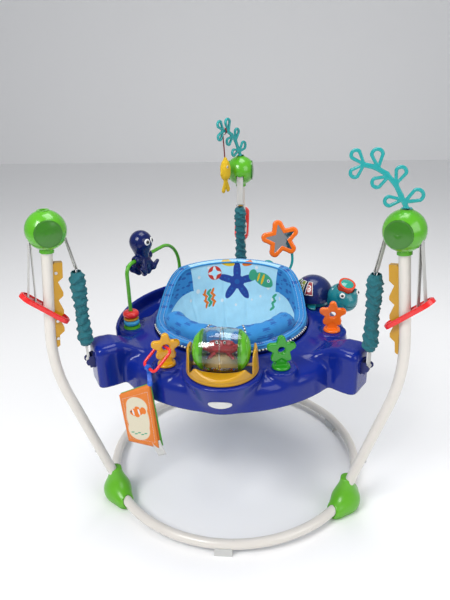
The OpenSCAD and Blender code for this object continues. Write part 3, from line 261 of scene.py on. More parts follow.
def leg_points(points, direction):
    """Points of a leg's own upright plane, x outwards, turned to the leg's direction."""
    turn = math.radians(direction)
    x, y, z = np.array(points, float).reshape(-1, 3).T
    return np.stack([x * math.cos(turn) - y * math.sin(turn), x * math.sin(turn) + y * math.cos(turn), z],
                    axis=1)


leg_directions = {"rear": 90, "left": 210, "right": 330}
ring_radius, tube_height, tube_radius = 350, 26, 12.7
tube_slip = 0.4
foot_top, foot_seam, seam_half = 101, 13, 0.4


def foot_form(x, y, z):
    """A whole foot in its leg's own plane, x outwards: a nose, an arm along each ring tube and a spine."""
    front = rod(x, y, z, (361, 0, 22), (361, 0, 24), 27, 27)
    left = rod(x, y, z, (349, -46, 19), (349, -45, 19), 21, 21)
    right = rod(x, y, z, (349, 46, 19), (349, 45, 19), 21, 21)
    body = join(front, join(left, right, 60), 46)
    spine = rod(x, y, z, (356, 0, 40), (357, 0, 96), 24, 17)
    body = np.maximum(np.maximum(join(body, spine, 34), z - foot_top), -z)
    ring = np.sqrt((np.sqrt(x ** 2 + y ** 2) - ring_radius) ** 2 + (z - tube_height) ** 2)
    return cut(body, ring - tube_radius - tube_slip, 1.5)


def foot_shell(x, y, z):
    """The cover: what is above the seam."""
    return cut(foot_form(x, y, z), z - foot_seam - seam_half, 1.5)


def foot_sole(x, y, z):
    """The sole: what is below the seam."""
    return cut(foot_form(x, y, z), foot_seam - seam_half - z, 1.5)


def stand_for(piece, body, *nodes):
    """The piece is shown instead of the CAD nodes and moves with their body."""
    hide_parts(*nodes)
    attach(piece, body)


foot_green = finish("green nylon", (0.12, 0.46, 0.012), 0.34, grain=800, depth=0.00003, shade=0.06,
                    coat=0.15)
sole_green = finish("green nylon sole", (0.11, 0.42, 0.012), 0.45, grain=800, depth=0.00003)
for name, node, field, material in (("foot_shells", "foot_covers", foot_shell, foot_green),
                                    ("foot_soles", "foot_bases", foot_sole, sole_green)):
    points, quads = skin(field, (300, -72, -4), (400, 72, 108), 2.5)
    many = np.concatenate([leg_points(points, d) for d in leg_directions.values()])
    feet = new_object(name, many * MM, np.concatenate([quads + i * len(points) for i in range(3)]),
                      material)
    stand_for(feet, "frame", node)

# ---- Ball heads with their side caps ----
# Each leg ends in a hollow green ball that carries the strap over a steel bar.
# Two slightly domed caps close its sides and the ends of the bar.
head_out, head_high = 439.4, 777
head_green = finish("bright green plastic", (0.10, 0.44, 0.012), 0.22, grain=500, depth=0.00002, coat=0.35)
dress(head_green, "heads")
# Painted shade: the caps are the balls' own plastic, given a darker green for the shade they sit in.
cap_green_painted_shade = finish("cap plastic with painted shade", (0.035, 0.20, 0.008), 0.22, grain=500, depth=0.00002, coat=0.35)
dress(cap_green_painted_shade, "head_caps")

# ---- Seaweed leaves ----
# Moulded sprays of seven looped leaves, plugged into the tops of two balls;
# each leaf is an open teardrop on a curved stem, flat with rounded edges.
stem = [(0, 46), (14, 72), (26, 94), (45, 114), (68, 127), (92, 132)]
leaves = [((8, 58), (-30, 82)), ((10, 64), (48, 58)), ((26, 94), (14, 132)), ((40, 110), (74, 90)),
          ((62, 124), (68, 166)), ((90, 132), (116, 160)), ((90, 132), (116, 106))]
leaf_thick = 3.6  # half the spray's thickness


def meet(a, b, soft):
    """What both forms share, with an eased edge."""
    return -join(-a, -b, soft)


def plate(flat, slab, edge):
    """An outline given a thickness, with its edges rounded to the radius edge."""
    corner = np.sqrt(np.maximum(flat + edge, 0) ** 2 + np.maximum(slab + edge, 0) ** 2) - edge
    return np.where((flat > -edge) & (slab > -edge), corner, np.maximum(flat, slab))


def upright(point):
    """A point of a spray's own plane as x, y and z."""
    return point[0], 0, point[1]


def leaf_field(x, y, z):
    """One spray in its own plane: x along it, z up, y through it."""
    flat = np.full(np.shape(x), 99.0)
    for a, b in zip(stem, stem[1:]):
        flat = join(flat, rod(x, 0 * y, z, upright(a), upright(b), 5.2, 4.8), 3)
    for a, b in leaves:
        a, b = np.array(a, float), np.array(b, float)
        wide = 0.34 * np.linalg.norm(b - a)
        near, middle = a + 0.30 * (b - a), a + 0.66 * (b - a)
        loop = rod(x, 0 * y, z, upright(a), upright(middle), 3.0, wide)
        hole = rod(x, 0 * y, z, upright(near), upright(middle), 0.8, wide - 7.4)
        flat = join(flat, np.maximum(loop, -hole), 2)
    flange = meet(np.sqrt(x ** 2 + y ** 2) - 11, np.abs(z - 46.7) - 1.4, 1)
    return join(plate(flat, np.abs(y) - leaf_thick, 2.4), flange, 3)


leaf_teal = finish("teal plastic", (0.012, 0.36, 0.36), 0.26, grain=500, depth=0.00002, coat=0.3)
points, quads = skin(leaf_field, (-52, -7, 42), (138, 7, 190), 1.35)
for side, node, turn in (("right", "leaf_right", 200), ("rear", "leaf_rear", 150)):
    spun = leg_points(points, turn) + [head_out, 0, head_high]
    leaf = new_object("leaves_" + side, leg_points(spun, leg_directions[side]) * MM, quads, leaf_teal)
    stand_for(leaf, "frame", node)

# ---- Notched racks and their clips ----
# A yellow rack is screwed to the inner side of each leg; a red clip hooks
# into one of its notches and sets the height of the strap.
rack_yellow = finish("yellow plastic", (0.57, 0.30, 0.003), 0.3, grain=500, depth=0.00002, coat=0.2,
                     far=(0.52, 0.26, 0.004))
clip_red = finish("red plastic", (0.84, 0.02, 0.02), 0.25, grain=500, depth=0.00002, coat=0.3)
dress(rack_yellow, "racks")
dress(clip_red, "clip_left", "clip_right", "clip_rear")

# ---- Straps ----
# Woven polyester webbing sewn into loops: over the bar of each ball down to
# the hook, from the ball's outside to the clip, and from the spring to an arm.


def cloth(name, color, thread, roughness=0.85, depth=0.00012, sheen=0.06, shade=0.05, figure=None):
    """A woven cloth: crossing threads that follow the UV map, which is in metres, with painted shade in the
    hollows between them, and a soft change of tone.
    figure adds a print: it takes the tree, the UV output and the plain colour's output."""
    material = plain(name, color, roughness)
    tree = material.node_tree
    shader = tree.nodes["Principled BSDF"]
    shader.inputs["Sheen Weight"].default_value = sheen
    shader.inputs["Sheen Roughness"].default_value = 0.5
    place = tree.nodes.new("ShaderNodeUVMap")
    place.uv_map = "cloth"
    waves = []
    for direction in ("X", "Y"):
        wave = tree.nodes.new("ShaderNodeTexWave")
        wave.bands_direction = direction
        wave.inputs["Scale"].default_value = 0.31 / thread
        wave.inputs["Distortion"].default_value = 0.6
        wave.inputs["Detail"].default_value = 1
        tree.links.new(place.outputs["UV"], wave.inputs["Vector"])
        waves.append(wave.outputs["Fac"])
    crossing = tree.nodes.new("ShaderNodeMath")
    crossing.operation = "MAXIMUM"
    tree.links.new(waves[0], crossing.inputs[0])
    tree.links.new(waves[1], crossing.inputs[1])
    bump = tree.nodes.new("ShaderNodeBump")
    bump.inputs["Distance"].default_value = depth
    tree.links.new(crossing.outputs["Value"], bump.inputs["Height"])
    tree.links.new(bump.outputs["Normal"], shader.inputs["Normal"])
    tone = tree.nodes.new("ShaderNodeTexNoise")
    tone.inputs["Scale"].default_value = 60
    tone.inputs["Detail"].default_value = 4
    tree.links.new(place.outputs["UV"], tone.inputs["Vector"])
    tint = tree.nodes.new("ShaderNodeMix")
    tint.data_type = "RGBA"
    tint.inputs["A"].default_value = (*color, 1)
    tint.inputs["B"].default_value = (*[c * (1 - 3 * shade) for c in color], 1)
    tree.links.new(tone.outputs["Fac"], tint.inputs["Factor"])
    colour = tint.outputs["Result"]
    if figure:
        colour = figure(tree, place.outputs["UV"], colour)
    # Painted shade: the colour is multiplied darker where the weave is low, in the hollows between the
    # threads.
    dark = tree.nodes.new("ShaderNodeMix")
    dark.data_type = "RGBA"
    dark.blend_type = "MULTIPLY"
    dark.inputs["B"].default_value = (0.82, 0.82, 0.82, 1)
    flip = tree.nodes.new("ShaderNodeMath")
    flip.operation = "SUBTRACT"
    flip.inputs[0].default_value = 1
    tree.links.new(crossing.outputs["Value"], flip.inputs[1])
    tree.links.new(flip.outputs["Value"], dark.inputs["Factor"])
    tree.links.new(colour, dark.inputs["A"])
    tree.links.new(dark.outputs["Result"], shader.inputs["Base Color"])
    gloss = tree.nodes.new("ShaderNodeMapRange")
    gloss.inputs["To Min"].default_value = roughness - 0.08
    gloss.inputs["To Max"].default_value = min(1, roughness + 0.08)
    tree.links.new(tone.outputs["Fac"], gloss.inputs["Value"])
    tree.links.new(gloss.outputs["Result"], shader.inputs["Roughness"])
    return material


def lay_uv(piece, coords):
    """Writes the UV map called cloth, in metres, from one pair for each corner of each face."""
    layer = piece.data.uv_layers.new(name="cloth")
    layer.data.foreach_set("uv", np.asarray(coords, np.float32).ravel())


def ribbon(name, line, width, thick, across, material, gap=4.0):
    """A flat strap of webbing along a line of points, mm; across is its width direction."""
    line = [np.array(p, float) for p in line]
    rows = [line[0]]
    for a, b in zip(line, line[1:]):
        parts = max(1, int(np.linalg.norm(b - a) / gap))
        rows += [a + (b - a) * (i + 1) / parts for i in range(parts)]
    rows = np.array(rows)
    run = np.gradient(rows, axis=0)
    run /= np.linalg.norm(run, axis=1)[:, None]
    across = np.array(across, float) / np.linalg.norm(across)
    face = np.cross(run, across)
    outline = [(-0.5, -0.2), (-0.44, -0.5), (-0.2, -0.42), (0, -0.5), (0.2, -0.42), (0.44, -0.5),
               (0.5, -0.2),
               (0.5, 0.2), (0.44, 0.5), (0.2, 0.42), (0, 0.5), (-0.2, 0.42), (-0.44, 0.5), (-0.5, 0.2)]
    n = len(outline)
    points = np.concatenate([rows[i] + np.array([a * width * across + b * thick * face[i] for a,
                                                 b in outline])
                             for i in range(len(rows))])
    faces, coords = [], []
    long = np.concatenate([[0], np.cumsum(np.linalg.norm(np.diff(rows, axis=0), axis=1))])
    for i in range(len(rows) - 1):
        for k in range(n):
            m = (k + 1) % n
            faces.append((i * n + k, i * n + m, (i + 1) * n + m, (i + 1) * n + k))
            u, v = outline[k][0] * width, outline[m][0] * width
            coords += [(u, long[i]), (v, long[i]), (v, long[i + 1]), (u, long[i + 1])]
    faces += [tuple(range(n))[::-1], tuple(range((len(rows) - 1) * n, len(rows) * n))]
    coords += [(outline[k][0] * width, 0) for k in range(n)][::-1]
    coords += [(outline[k][0] * width, long[-1]) for k in range(n)]
    strap = new_object(name, points * MM, faces, material)
    lay_uv(strap, np.array(coords) * MM)
    return strap


def tangent(direction):
    """The way across a leg's own plane."""
    turn = math.radians(direction)
    return np.array([-math.sin(turn), math.cos(turn), 0])


webbing = cloth("white webbing", (0.66, 0.66, 0.63), 0.0011, depth=0.0003)
strap_width, strap_thick = 20, 2
hook_out, hook_high = 387, 679  # the eye of each upper hook
slot_out, slot_down = 35.5, 9  # from a ball's centre to the edges of its strap slots
clip_slots, clip_lean = ((488.7, 615.3), (502.8, 628.1)), math.radians(42)
for side, direction in leg_directions.items():
    for k, lean in enumerate((-2.4, 2.4)):
        line = leg_points([(head_out - slot_out + 0.6 * lean, 0, head_high - slot_down),
                           (hook_out + lean, 0, hook_high)], direction)
        strap = ribbon(f"strap_{side}_{k}", line, strap_width, strap_thick, tangent(direction), webbing)
        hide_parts("hang_straps")
        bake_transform(strap)
for side, direction in leg_directions.items():
    for k, (slot_r, slot_z) in enumerate(clip_slots):
        deep, clear = [(slot_r - u * math.sin(clip_lean), 0, slot_z + u * math.cos(clip_lean))
                       for u in (-3, 6)]
        line = leg_points([deep, clear, (head_out + slot_out + 2 * k, 0, head_high - slot_down)], direction)
        strap = ribbon(f"height_strap_{side}_{k}", line, strap_width, strap_thick, tangent(direction),
                       webbing)
        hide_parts("adjust_straps")
        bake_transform(strap)
dress(finish("white strap end", (0.66, 0.66, 0.63), 0.8, grain=700, depth=0.0002), "tail_straps")

# ---- Coil springs and sleeves ----
# The tray hangs on three coil springs of steel wire. A tube of teal polyester, about
# 1.4 times as long as its gap, is gathered over each so that it can stretch with it.
coil_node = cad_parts["springs"].data
corners, joined = np.unique(np.array([v.co for v in coil_node.vertices]).round(7), axis=0,
                            return_inverse=True)
coil_faces = joined.ravel()[[tuple(p.vertices) for p in coil_node.polygons]]
coils = new_object("coil_springs", corners, coil_faces, zinc)
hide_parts("springs")
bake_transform(coils)
sleeve_low, sleeve_high, sleeve_radius, sleeve_tied = 484, 672, 15.6, 9.5
sleeve_flat = (0.098, 0.262)
sleeve_teal = cloth("teal woven polyester", (0.012, 0.155, 0.19), 0.0006, depth=0.00008, sheen=0.1)
rows, around = 170, 80
for side, direction in leg_directions.items():
    s, t = np.meshgrid(np.linspace(0, 1, rows), np.linspace(0, 2 * math.pi, around, endpoint=False),
                       indexing="ij")
    phase = direction * 0.1
    fold = (np.sin(2 * math.pi * (9 * s + 0.30 * np.sin(t + phase) + 0.17 * np.sin(2 * t + 11 * s + phase)))
            + 0.45 * np.sin(2 * math.pi * (17 * s + 0.35 * np.sin(3 * t + 7 * s) + phase)))
    open_up = np.clip(np.minimum(s, 1 - s) / 0.06, 0, 1)
    swell = 1 + 0.10 * np.sin(2 * math.pi * (1.3 * s + 0.2 + phase))
    radius = sleeve_tied + (sleeve_radius * swell - sleeve_tied + 2.0 * fold) * (0.25 + 0.75 * open_up)
    radius = radius + 0.5 * np.sin(9 * t + 40 * s)
    height = sleeve_low + (sleeve_high - sleeve_low) * s + 1.5 * np.sin(2 * t + 25 * s) * open_up
    local = np.stack([hook_out + radius * np.cos(t), radius * np.sin(t), height], axis=-1).reshape(-1, 3)
    faces = [(i * around + k, i * around + (k + 1) % around, (i + 1) * around + (k + 1) % around,
              (i + 1) * around + k) for i in range(rows - 1) for k in range(around)]
    sleeve = new_object("sleeve_" + side, leg_points(local, direction) * MM, faces, sleeve_teal)
    across, long = sleeve_flat[0] / around, sleeve_flat[1] / rows
    lay_uv(sleeve, [(across * (k + a), long * (i + b)) for i in range(rows - 1) for k in range(around)
                    for a, b in ((0, 0), (1, 0), (1, 1), (0, 1))])
    skin_layer = sleeve.modifiers.new("cloth thickness", "SOLIDIFY")
    skin_layer.thickness = 0.0007
    skin_layer.offset = -1
    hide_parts("spring_covers")
    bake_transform(sleeve)

# ---- Tray ----
# One glossy blow-thin moulding, open underneath, with fillets wherever its
# forms meet: a ring, three arms, a pod for the roller and flat toy seats.
tray_hole = 204
tray_low, tray_rim, tray_edge = 378, 464, 442
arm_height, arm_end = 484, 375
toy_seats = [240, 300, 352, 188, 130, 76]
seat_circle, toy_seat_height = 266, 456
turtle_direction = 33
pod_centre = -251
pocket_directions = (142, 174)
wall = 3
tray_step = 3.8


def polar(x, y, direction, distance):
    """How far a point is, seen from above, from one on a circle round the tray's middle."""
    turn = math.radians(direction)
    return np.sqrt((x - distance * math.cos(turn)) ** 2 + (y - distance * math.sin(turn)) ** 2)


def tray_form(x, y, z):
    """The outside of the moulding, solid, before it is given its wall."""
    r = np.sqrt(x ** 2 + y ** 2)
    deck = tray_rim - (tray_rim - tray_edge) * np.clip((r - 218) / 69, 0, 1.4)
    form = meet((z - deck) * 0.953, r - 310 + 3 * (z - tray_low) / 64, 23)
    for direction in leg_directions.values():
        turn = math.radians(direction)
        out = x * math.cos(turn) + y * math.sin(turn)
        side = np.abs(y * math.cos(turn) - x * math.sin(turn))
        half = np.interp(out, [200, 234, 262, 290, 305, 326, 345], [70, 66, 51, 40, 38, 42, 44])
        top = np.interp(out, [240, 256, 300, 324], [450, 454, 476, arm_height])
        arm = meet(meet(side - half, out - arm_end, 18), (z - top) * 0.92, 21)
        form = join(form, np.maximum(arm, 225 - out), 12)
    for direction in toy_seats:
        gap = polar(x, y, direction, seat_circle)
        form = join(form, meet(gap - 37, z - toy_seat_height, 4), 9)
    gap = polar(x, y, turtle_direction, seat_circle)
    form = join(form, meet((gap - 52 + 0.08 * (z - 398)), z - toy_seat_height, 6), 9)
    for direction in toy_seats + [turtle_direction]:
        gap = polar(x, y, direction, seat_circle)
        form = cut(form, meet(gap - (31 if direction != turtle_direction else 47), toy_seat_height - z,
                              0.5), 3)
    spread = (pocket_directions[1] - pocket_directions[0]) / 2
    turn = math.radians(sum(pocket_directions) / 2)
    swing = np.abs(np.arctan2(y * math.cos(turn) - x * math.sin(turn),
                              x * math.cos(turn) + y * math.sin(turn)))
    inside = meet(np.abs(r - 260) - 34, (swing - math.radians(spread)) * 260, 14)
    form = cut(form, meet(inside, tray_rim - 26 - 0.1 * (r - 226) - z, 12), 7)
    raised = meet(meet(np.abs(r - 302) - 5, (swing - math.radians(spread + 20)) * 302, 10), z - 473, 9)
    form = join(form, raised, 7)
    gap = np.sqrt(x ** 2 + (y - pod_centre) ** 2)
    pod = meet((gap - 64 - 28 * (np.minimum(z, 460) - tray_low) / 75) * 0.937, z - 459, 7)
    form = join(form, pod, 10)
    return meet(form, tray_hole - r, 5)


points, quads = skin(tray_form, (-358, -356, tray_low - 6), (358, 386, arm_height + 8), tray_step)
kept = (points[quads, 2] > tray_low).any(axis=1)
used, quads = np.unique(quads[kept], return_inverse=True)
quads = quads.reshape(-1, 4)
points = points[used]
points[:, 2] = np.maximum(points[:, 2], tray_low)
x, y, z = points.T
slope = np.stack([tray_form(x + 1, y, z) - tray_form(x - 1, y, z),
                  tray_form(x, y + 1, z) - tray_form(x, y - 1, z),
                  tray_form(x, y, z + 1) - tray_form(x, y, z - 1)], axis=1)
inner = points - wall * slope / np.linalg.norm(slope, axis=1)[:, None]
inner[points[:, 2] <= tray_low, 2] = tray_low
edges = np.concatenate([quads[:, [i, (i + 1) % 4]] for i in range(4)])
code = edges[:, 0] * len(points) + edges[:, 1]
back = edges[:, 1] * len(points) + edges[:, 0]
border = edges[~np.isin(code, back)]
n = len(points)
band = np.stack([border[:, 1], border[:, 0], border[:, 0] + n, border[:, 1] + n], axis=1)
tray_points = [points, inner]
tray_faces = [quads, quads[:, ::-1] + n, band]
for rib in range(12):
    turn = math.radians(15 + 30 * rib)
    along = np.array([math.cos(turn), math.sin(turn), 0])
    across = np.array([-math.sin(turn), math.cos(turn), 0])
    corners = [along * a + across * b + np.array([0, 0, c])
               for c in (404, 430) for a, b in ((207.5, -1.2), (298, -1.2), (298, 1.2), (207.5, 1.2))]
    start = sum(len(p) for p in tray_points)
    tray_points.append(np.array(corners))
    tray_faces.append(start + np.array([(3, 2, 1, 0), (4, 5, 6, 7), (0, 1, 5, 4), (1, 2, 6, 5),
                                        (2, 3, 7, 6), (3, 0, 4, 7)]))
ledge = [(189.5, 432), (205, 432), (205, 435), (189.5, 435)]
turns = np.linspace(0, 2 * math.pi, 128, endpoint=False)
start = sum(len(p) for p in tray_points)
tray_points.append(np.array([(r * math.cos(t), r * math.sin(t), h) for t in turns for r, h in ledge]))
tray_faces.append(start + np.array([(4 * i + k, 4 * ((i + 1) % 128) + k, 4 * ((i + 1) % 128) + (k + 1) % 4,
                                     4 * i + (k + 1) % 4) for i in range(128) for k in range(4)])[:, ::-1])
tray_blue = finish("royal blue plastic", (0.004, 0.016, 0.20), 0.17, grain=45, depth=0.00012, coat=0.12,
                   wear=0.04,
                   far=(0.005, 0.020, 0.25), shine=0.28)
tray = new_object("tray_moulding", np.concatenate(tray_points) * MM, np.concatenate(tray_faces), tray_blue)
stand_for(tray, "tray_body", "tray")
dress(tray_blue, "seat_ring")
dress(finish("navy plastic", (0.005, 0.012, 0.12), 0.35), "arm_hooks")
badge_white = finish("white plastic badge", (0.72, 0.72, 0.70), 0.3)
dress(badge_white, "badge")

# ---- Star toy holders ----
# Three glossy stars on keyed flanges in the tray; loose toys clip through the
# round hole in the middle of each.
star_centre_height = 501.1
star_lobe, star_arm, star_bore = 9.2, 25.6, 8


def star_field(x, y, z):
    """A star that stands on its flange: x through it, z up from its centre."""
    r, swing = np.sqrt(y ** 2 + z ** 2), np.arctan2(y, z)
    fold = np.abs((swing + math.pi / 5) % (2 * math.pi / 5) - math.pi / 5)
    flat = rod(r * np.cos(fold), r * np.sin(fold), 0 * r, (9, 0, 0), (star_arm, 0, 0), 15, star_lobe)
    flat = np.maximum(flat, star_bore - r)
    star = plate(flat, np.abs(x) - 6.2, 3.4)
    neck = meet(meet(np.abs(x) - 4.6, np.abs(y) - 16 + 0.25 * (z + 45), 2), np.maximum(z + 14, -44.5 - z),
                1)
    star = join(star, neck, 3)
    flange = meet(np.sqrt(x ** 2 + y ** 2) - 22.6 + 0.4 * (z + 45), np.abs(z + 42) - 3, 1.5)
    key = np.maximum(np.maximum(20.5 - y, y - 30), np.abs(x) - 4.5)
    return np.maximum(join(star, flange, 3), -key)


points, quads = skin(star_field, (-26, -40, -48), (26, 40, 40), 1.5)
star_green = finish("green plastic", (0.02, 0.29, 0.012), 0.22, grain=500, depth=0.00002, coat=0.35)
star_orange = finish("orange plastic", (0.92, 0.17, 0.004), 0.22, grain=500, depth=0.00002, coat=0.35,
                     far=(0.88, 0.15, 0.006))
star_yellow = finish("star yellow plastic", (0.70, 0.35, 0.003), 0.22, grain=500, depth=0.00002, coat=0.35,
                     far=(0.66, 0.33, 0.006))
for name, direction, facing, material in (("yellow", 240, 45, star_yellow), ("green", 300, -18, star_green),
                                          ("orange", 352, -84, star_orange)):
    turned = leg_points(points, direction + facing)
    spot = leg_points([(seat_circle, 0, star_centre_height)], direction)[0]
    star = new_object("star_toy_" + name, (turned + spot) * MM, quads, material)
    stand_for(star, "tray_body", "star_" + name)

# ---- Bead arch and octopus ----
# A bent tube in two sockets. Three beads slide on its leg, and a hollow
# octopus in two halves spins on its straight top.
arch_green = finish("grass green plastic", (0.09, 0.42, 0.015), 0.25, coat=0.3)
sky_blue = finish("light blue plastic", (0.05, 0.42, 0.72), 0.25, coat=0.3)
dress(arch_green, "arch")
dress(clip_red, "bead_red")
dress(rack_yellow, "bead_yellow")
dress(sky_blue, "bead_blue")
octopus_blue = finish("octopus blue plastic", (0.002, 0.009, 0.09), 0.2, grain=400, depth=0.00002, coat=0.2,
                      shine=0.3)
arch_foot = leg_points([(seat_circle, 0, toy_seat_height)], 188)[0]
arch_far = leg_points([(seat_circle, 0, toy_seat_height)], 130)[0]
arch_direction = math.degrees(math.atan2(*(arch_far - arch_foot)[[1, 0]]))
octopus_along, arch_top = 73, 171


def octopus_field(x, y, z):
    """The octopus round the arch's top: x along the tube, z up, and eight arms that curl outwards."""
    head = ball(x, y * 1.04, z, (0, 0, 43), 31)
    body = join(head, rod(x, y, z, (0, 0, 12), (0, 0, -10), 17, 18), 16)
    body = join(body, rod(x, y, z, (-25, 0, 0), (25, 0, 0), 11.6, 11.6), 7)
    for side in (-1, 1):
        for front in (-1, 1):
            for reach, low, width in ((30, -30, 19), (13, -40, 9)):
                knee = (side * reach * 0.7, front * width, low)
                tip = (side * (reach + 8), front * (width + 3), low + (12 if reach > 20 else 5))
                body = join(body, rod(x, y, z, (side * reach * 0.35, front * 8, -8), knee, 9, 7.5), 6)
                body = join(body, rod(x, y, z, knee, tip, 7.5, 4.8), 4)
        body = join(body, ball(x, y, z, (side * 27, 0, 0), 12.6), 4)
    smile = np.sqrt((np.sqrt(x ** 2 + (z - 44) ** 2) - 16) ** 2 + (np.abs(y) - 29) ** 2) - 1.5
    body = np.maximum(body, -np.maximum(smile, z - 34))
    return np.maximum(body, 7.4 - np.sqrt(y ** 2 + z ** 2))


points, quads = skin(octopus_field, (-48, -38, -54), (48, 38, 80), 1.6)


def on_arch(local):
    """Points given from the arch's foot, x along the arch, moved to where the octopus is."""
    turned = leg_points(np.asarray(local, float) + [octopus_along, 0, arch_top], arch_direction)
    return turned + arch_foot


octopus = new_object("octopus_toy_body", on_arch(points) * MM, quads, octopus_blue)
stand_for(octopus, "octopus_toy", "octopus")
eye_white = finish("printed white", (0.78, 0.78, 0.76), 0.3, grain=500, depth=0.00001)
eye_black = finish("printed black", (0.01, 0.01, 0.012), 0.2, grain=500, depth=0.00001, coat=0.4)


def bead_mesh(name, centre, radii, axis, material, rings=12, sides=20):
    """A squashed ball at centre, mm: flat along axis by the third radius."""
    axis = Vector(axis).normalized()
    turn = np.array(axis.to_track_quat("Z", "Y").to_matrix())
    points = [(0, 0, radii[2])]
    for i in range(1, rings):
        a = math.pi * i / rings
        points += [(radii[0] * math.sin(a) * math.cos(b), radii[1] * math.sin(a) * math.sin(b),
                    radii[2] * math.cos(a))
                   for b in np.linspace(0, 2 * math.pi, sides, endpoint=False)]
    points.append((0, 0, -radii[2]))
    faces = [(0, 1 + k, 1 + (k + 1) % sides) for k in range(sides)]
    for i in range(rings - 2):
        faces += [(1 + i * sides + k, 1 + (i + 1) * sides + k, 1 + (i + 1) * sides + (k + 1) % sides,
                   1 + i * sides + (k + 1) % sides) for k in range(sides)]
    last = 1 + (rings - 2) * sides
    faces += [(last + (k + 1) % sides, last + k, last + sides) for k in range(sides)]
    return new_object(name, (np.array(points) @ turn.T + np.array(centre)) * MM, faces, material)


to_camera = np.array(camera_at) / MM - on_arch([(0, 0, 43)])[0]
along = leg_points([(1, 0, 0)], arch_direction)[0]
face_out = np.cross(along, (0, 0, 1))
face_out *= np.sign(face_out @ to_camera)
for side in (-1, 1):
    look = face_out * 0.93 + along * 0.34 * side + np.array([0, 0, 0.18])
    look /= np.linalg.norm(look)
    eye_at = on_arch([(0, 0, 43)])[0] + look * 29.6
    for name, size, lift, material in (("white", 8.6, 0, eye_white), ("pupil", 4.8, 1.7, eye_black)):
        eye = bead_mesh(f"octopus_eye_{name}_{side + 1}", eye_at + look * lift, (size, size, 2.4), look,
                        material)
        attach(eye, "octopus_toy")

# ---- Turtle with keys and a light ----
# A dark blue shell with three numbered sound keys, on a turquoise body whose
# head carries a light under a clear lens in an orange collar.
shell_blue = finish("dark blue plastic", (0.008, 0.02, 0.12), 0.22, grain=400, depth=0.00002, coat=0.2,
                    shine=0.3)
turtle_teal = finish("turquoise plastic", (0.008, 0.20, 0.235), 0.28, grain=400, depth=0.00002, coat=0.3)
collar_red = finish("orange-red plastic", (0.70, 0.06, 0.015), 0.25, grain=400, depth=0.00002, coat=0.3)
lens_green = finish("translucent green lens", (0.03, 0.50, 0.40), 0.12, grain=200, depth=0.00005,
                    clear=0.35, coat=0.4)
dress(shell_blue, "turtle_shell")
dress(collar_red, "light_collar")
dress(lens_green, "light_lens")
key_colours = {"key_1": (0.01, 0.16, 0.06), "key_2": (0.20, 0.24, 0.02), "key_3": (0.28, 0.015, 0.02)}
for node, colour in key_colours.items():
    dress(finish(node.replace("_", " ") + " plastic", colour, 0.3, grain=400, depth=0.00002, coat=0.3),
          node)
turtle_at = leg_points([(seat_circle, 0, 0)], turtle_direction)[0]
head_direction, head_turn = -38, -22
head_at = turtle_at + leg_points([(97, 0, 500)], head_direction)[0]
shell_at = turtle_at + [0, 0, 478]
shell_local = leg_points([shell_at - head_at], -(head_direction + head_turn))[0]
lamp_lean = math.radians(24)


def turtle_head_field(x, y, z):
    """The head and neck: x the way it looks, z up from the head's centre."""
    form = join(ball(x, y, z * 1.12, (0, 0, 0), 40), ball(x, y, z, (21, 0, -10), 26), 14)
    for side in (-1, 1):
        form = join(form, ball(x, y, z, (24, side * 19, 14), 13), 5)
    form = join(form, rod(x, y, z, (-12, 0, -12), (-34, -10, -24), 20, 17), 10)
    form = np.maximum(form, -ball(x, y, z, shell_local, 57.6))
    lamp_x = x * math.cos(lamp_lean) - z * math.sin(lamp_lean)
    lamp_z = x * math.sin(lamp_lean) + z * math.cos(lamp_lean) - 30
    well = np.maximum(np.sqrt(lamp_x ** 2 + y ** 2) - 23.4, -8 - lamp_z)
    form = np.maximum(form, -well)
    mouth = np.maximum(np.abs(z + 17 - 0.012 * y ** 2) - 0.9, 30 - x)
    return np.maximum(form, -mouth)


def turtle_frame(local):
    """Points given from the head's centre, moved to their place."""
    return leg_points(local, head_direction + head_turn) + head_at


points, quads = skin(turtle_head_field, (-66, -46, -46), (54, 46, 42), 1.6)
turtle_head = new_object("turtle_head_form", turtle_frame(points) * MM, quads, turtle_teal)
stand_for(turtle_head, "tray_body", "turtle_head")
for side in (-1, 1):
    look = leg_points([(0.80, 0.52 * side, 0.28)], head_direction + head_turn)[0]
    eye_at = turtle_frame([(24, side * 19, 14)])[0] + look / np.linalg.norm(look) * 11.2
    for name, size, lift, material in (("white", 7.4, 0, eye_white), ("pupil", 3.8, 2.0, eye_black)):
        eye = bead_mesh(f"turtle_eye_{name}_{side + 1}", eye_at + look * lift, (size, size, 2.6), look,
                        material)
        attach(eye, "tray_body")


def turtle_base_field(x, y, z):
    """The body under the shell with its four flippers: z is the height, x and y from the shell's middle."""
    r = np.sqrt(x ** 2 + y ** 2)
    form = meet(r - 45 - 0.55 * (z - 456), np.abs(z - 464.5) - 8.2, 2)
    for turn in (-62, 62, 150, -150):
        a = math.radians(head_direction + turn)
        u, v = x * math.cos(a) + y * math.sin(a), -x * math.sin(a) + y * math.cos(a)
        droop = z - 465 + 0.10 * (u - 45)
        paddle = rod(u, v, 0 * u, (38, 0, 0), (64, 5, 0), 14, 11)
        paddle = np.where((paddle > -3) & (np.abs(droop) > 1.2),
                          np.sqrt(np.maximum(paddle + 3, 0) ** 2
                                  + np.maximum(np.abs(droop) - 1.4, 0) ** 2) - 3,
                          np.maximum(paddle, np.abs(droop) - 4.4))
        form = join(form, paddle, 4)
    gx, gy = x + turtle_at[0], y + turtle_at[1]
    deck_r = np.sqrt(gx ** 2 + gy ** 2)
    form = np.maximum(form, 207.3 - deck_r)
    deck = np.where(r < 50, 456.2, 465 - 22 * np.clip((deck_r - 218) / 69, 0, 1.4) + 0.6)
    return np.maximum(form, deck - z)


points, quads = skin(turtle_base_field, (-82, -82, 440), (82, 82, 482), 1.6)
turtle_body = new_object("turtle_body_form", (points + turtle_at) * MM, quads, turtle_teal)
stand_for(turtle_body, "tray_body", "turtle_base")


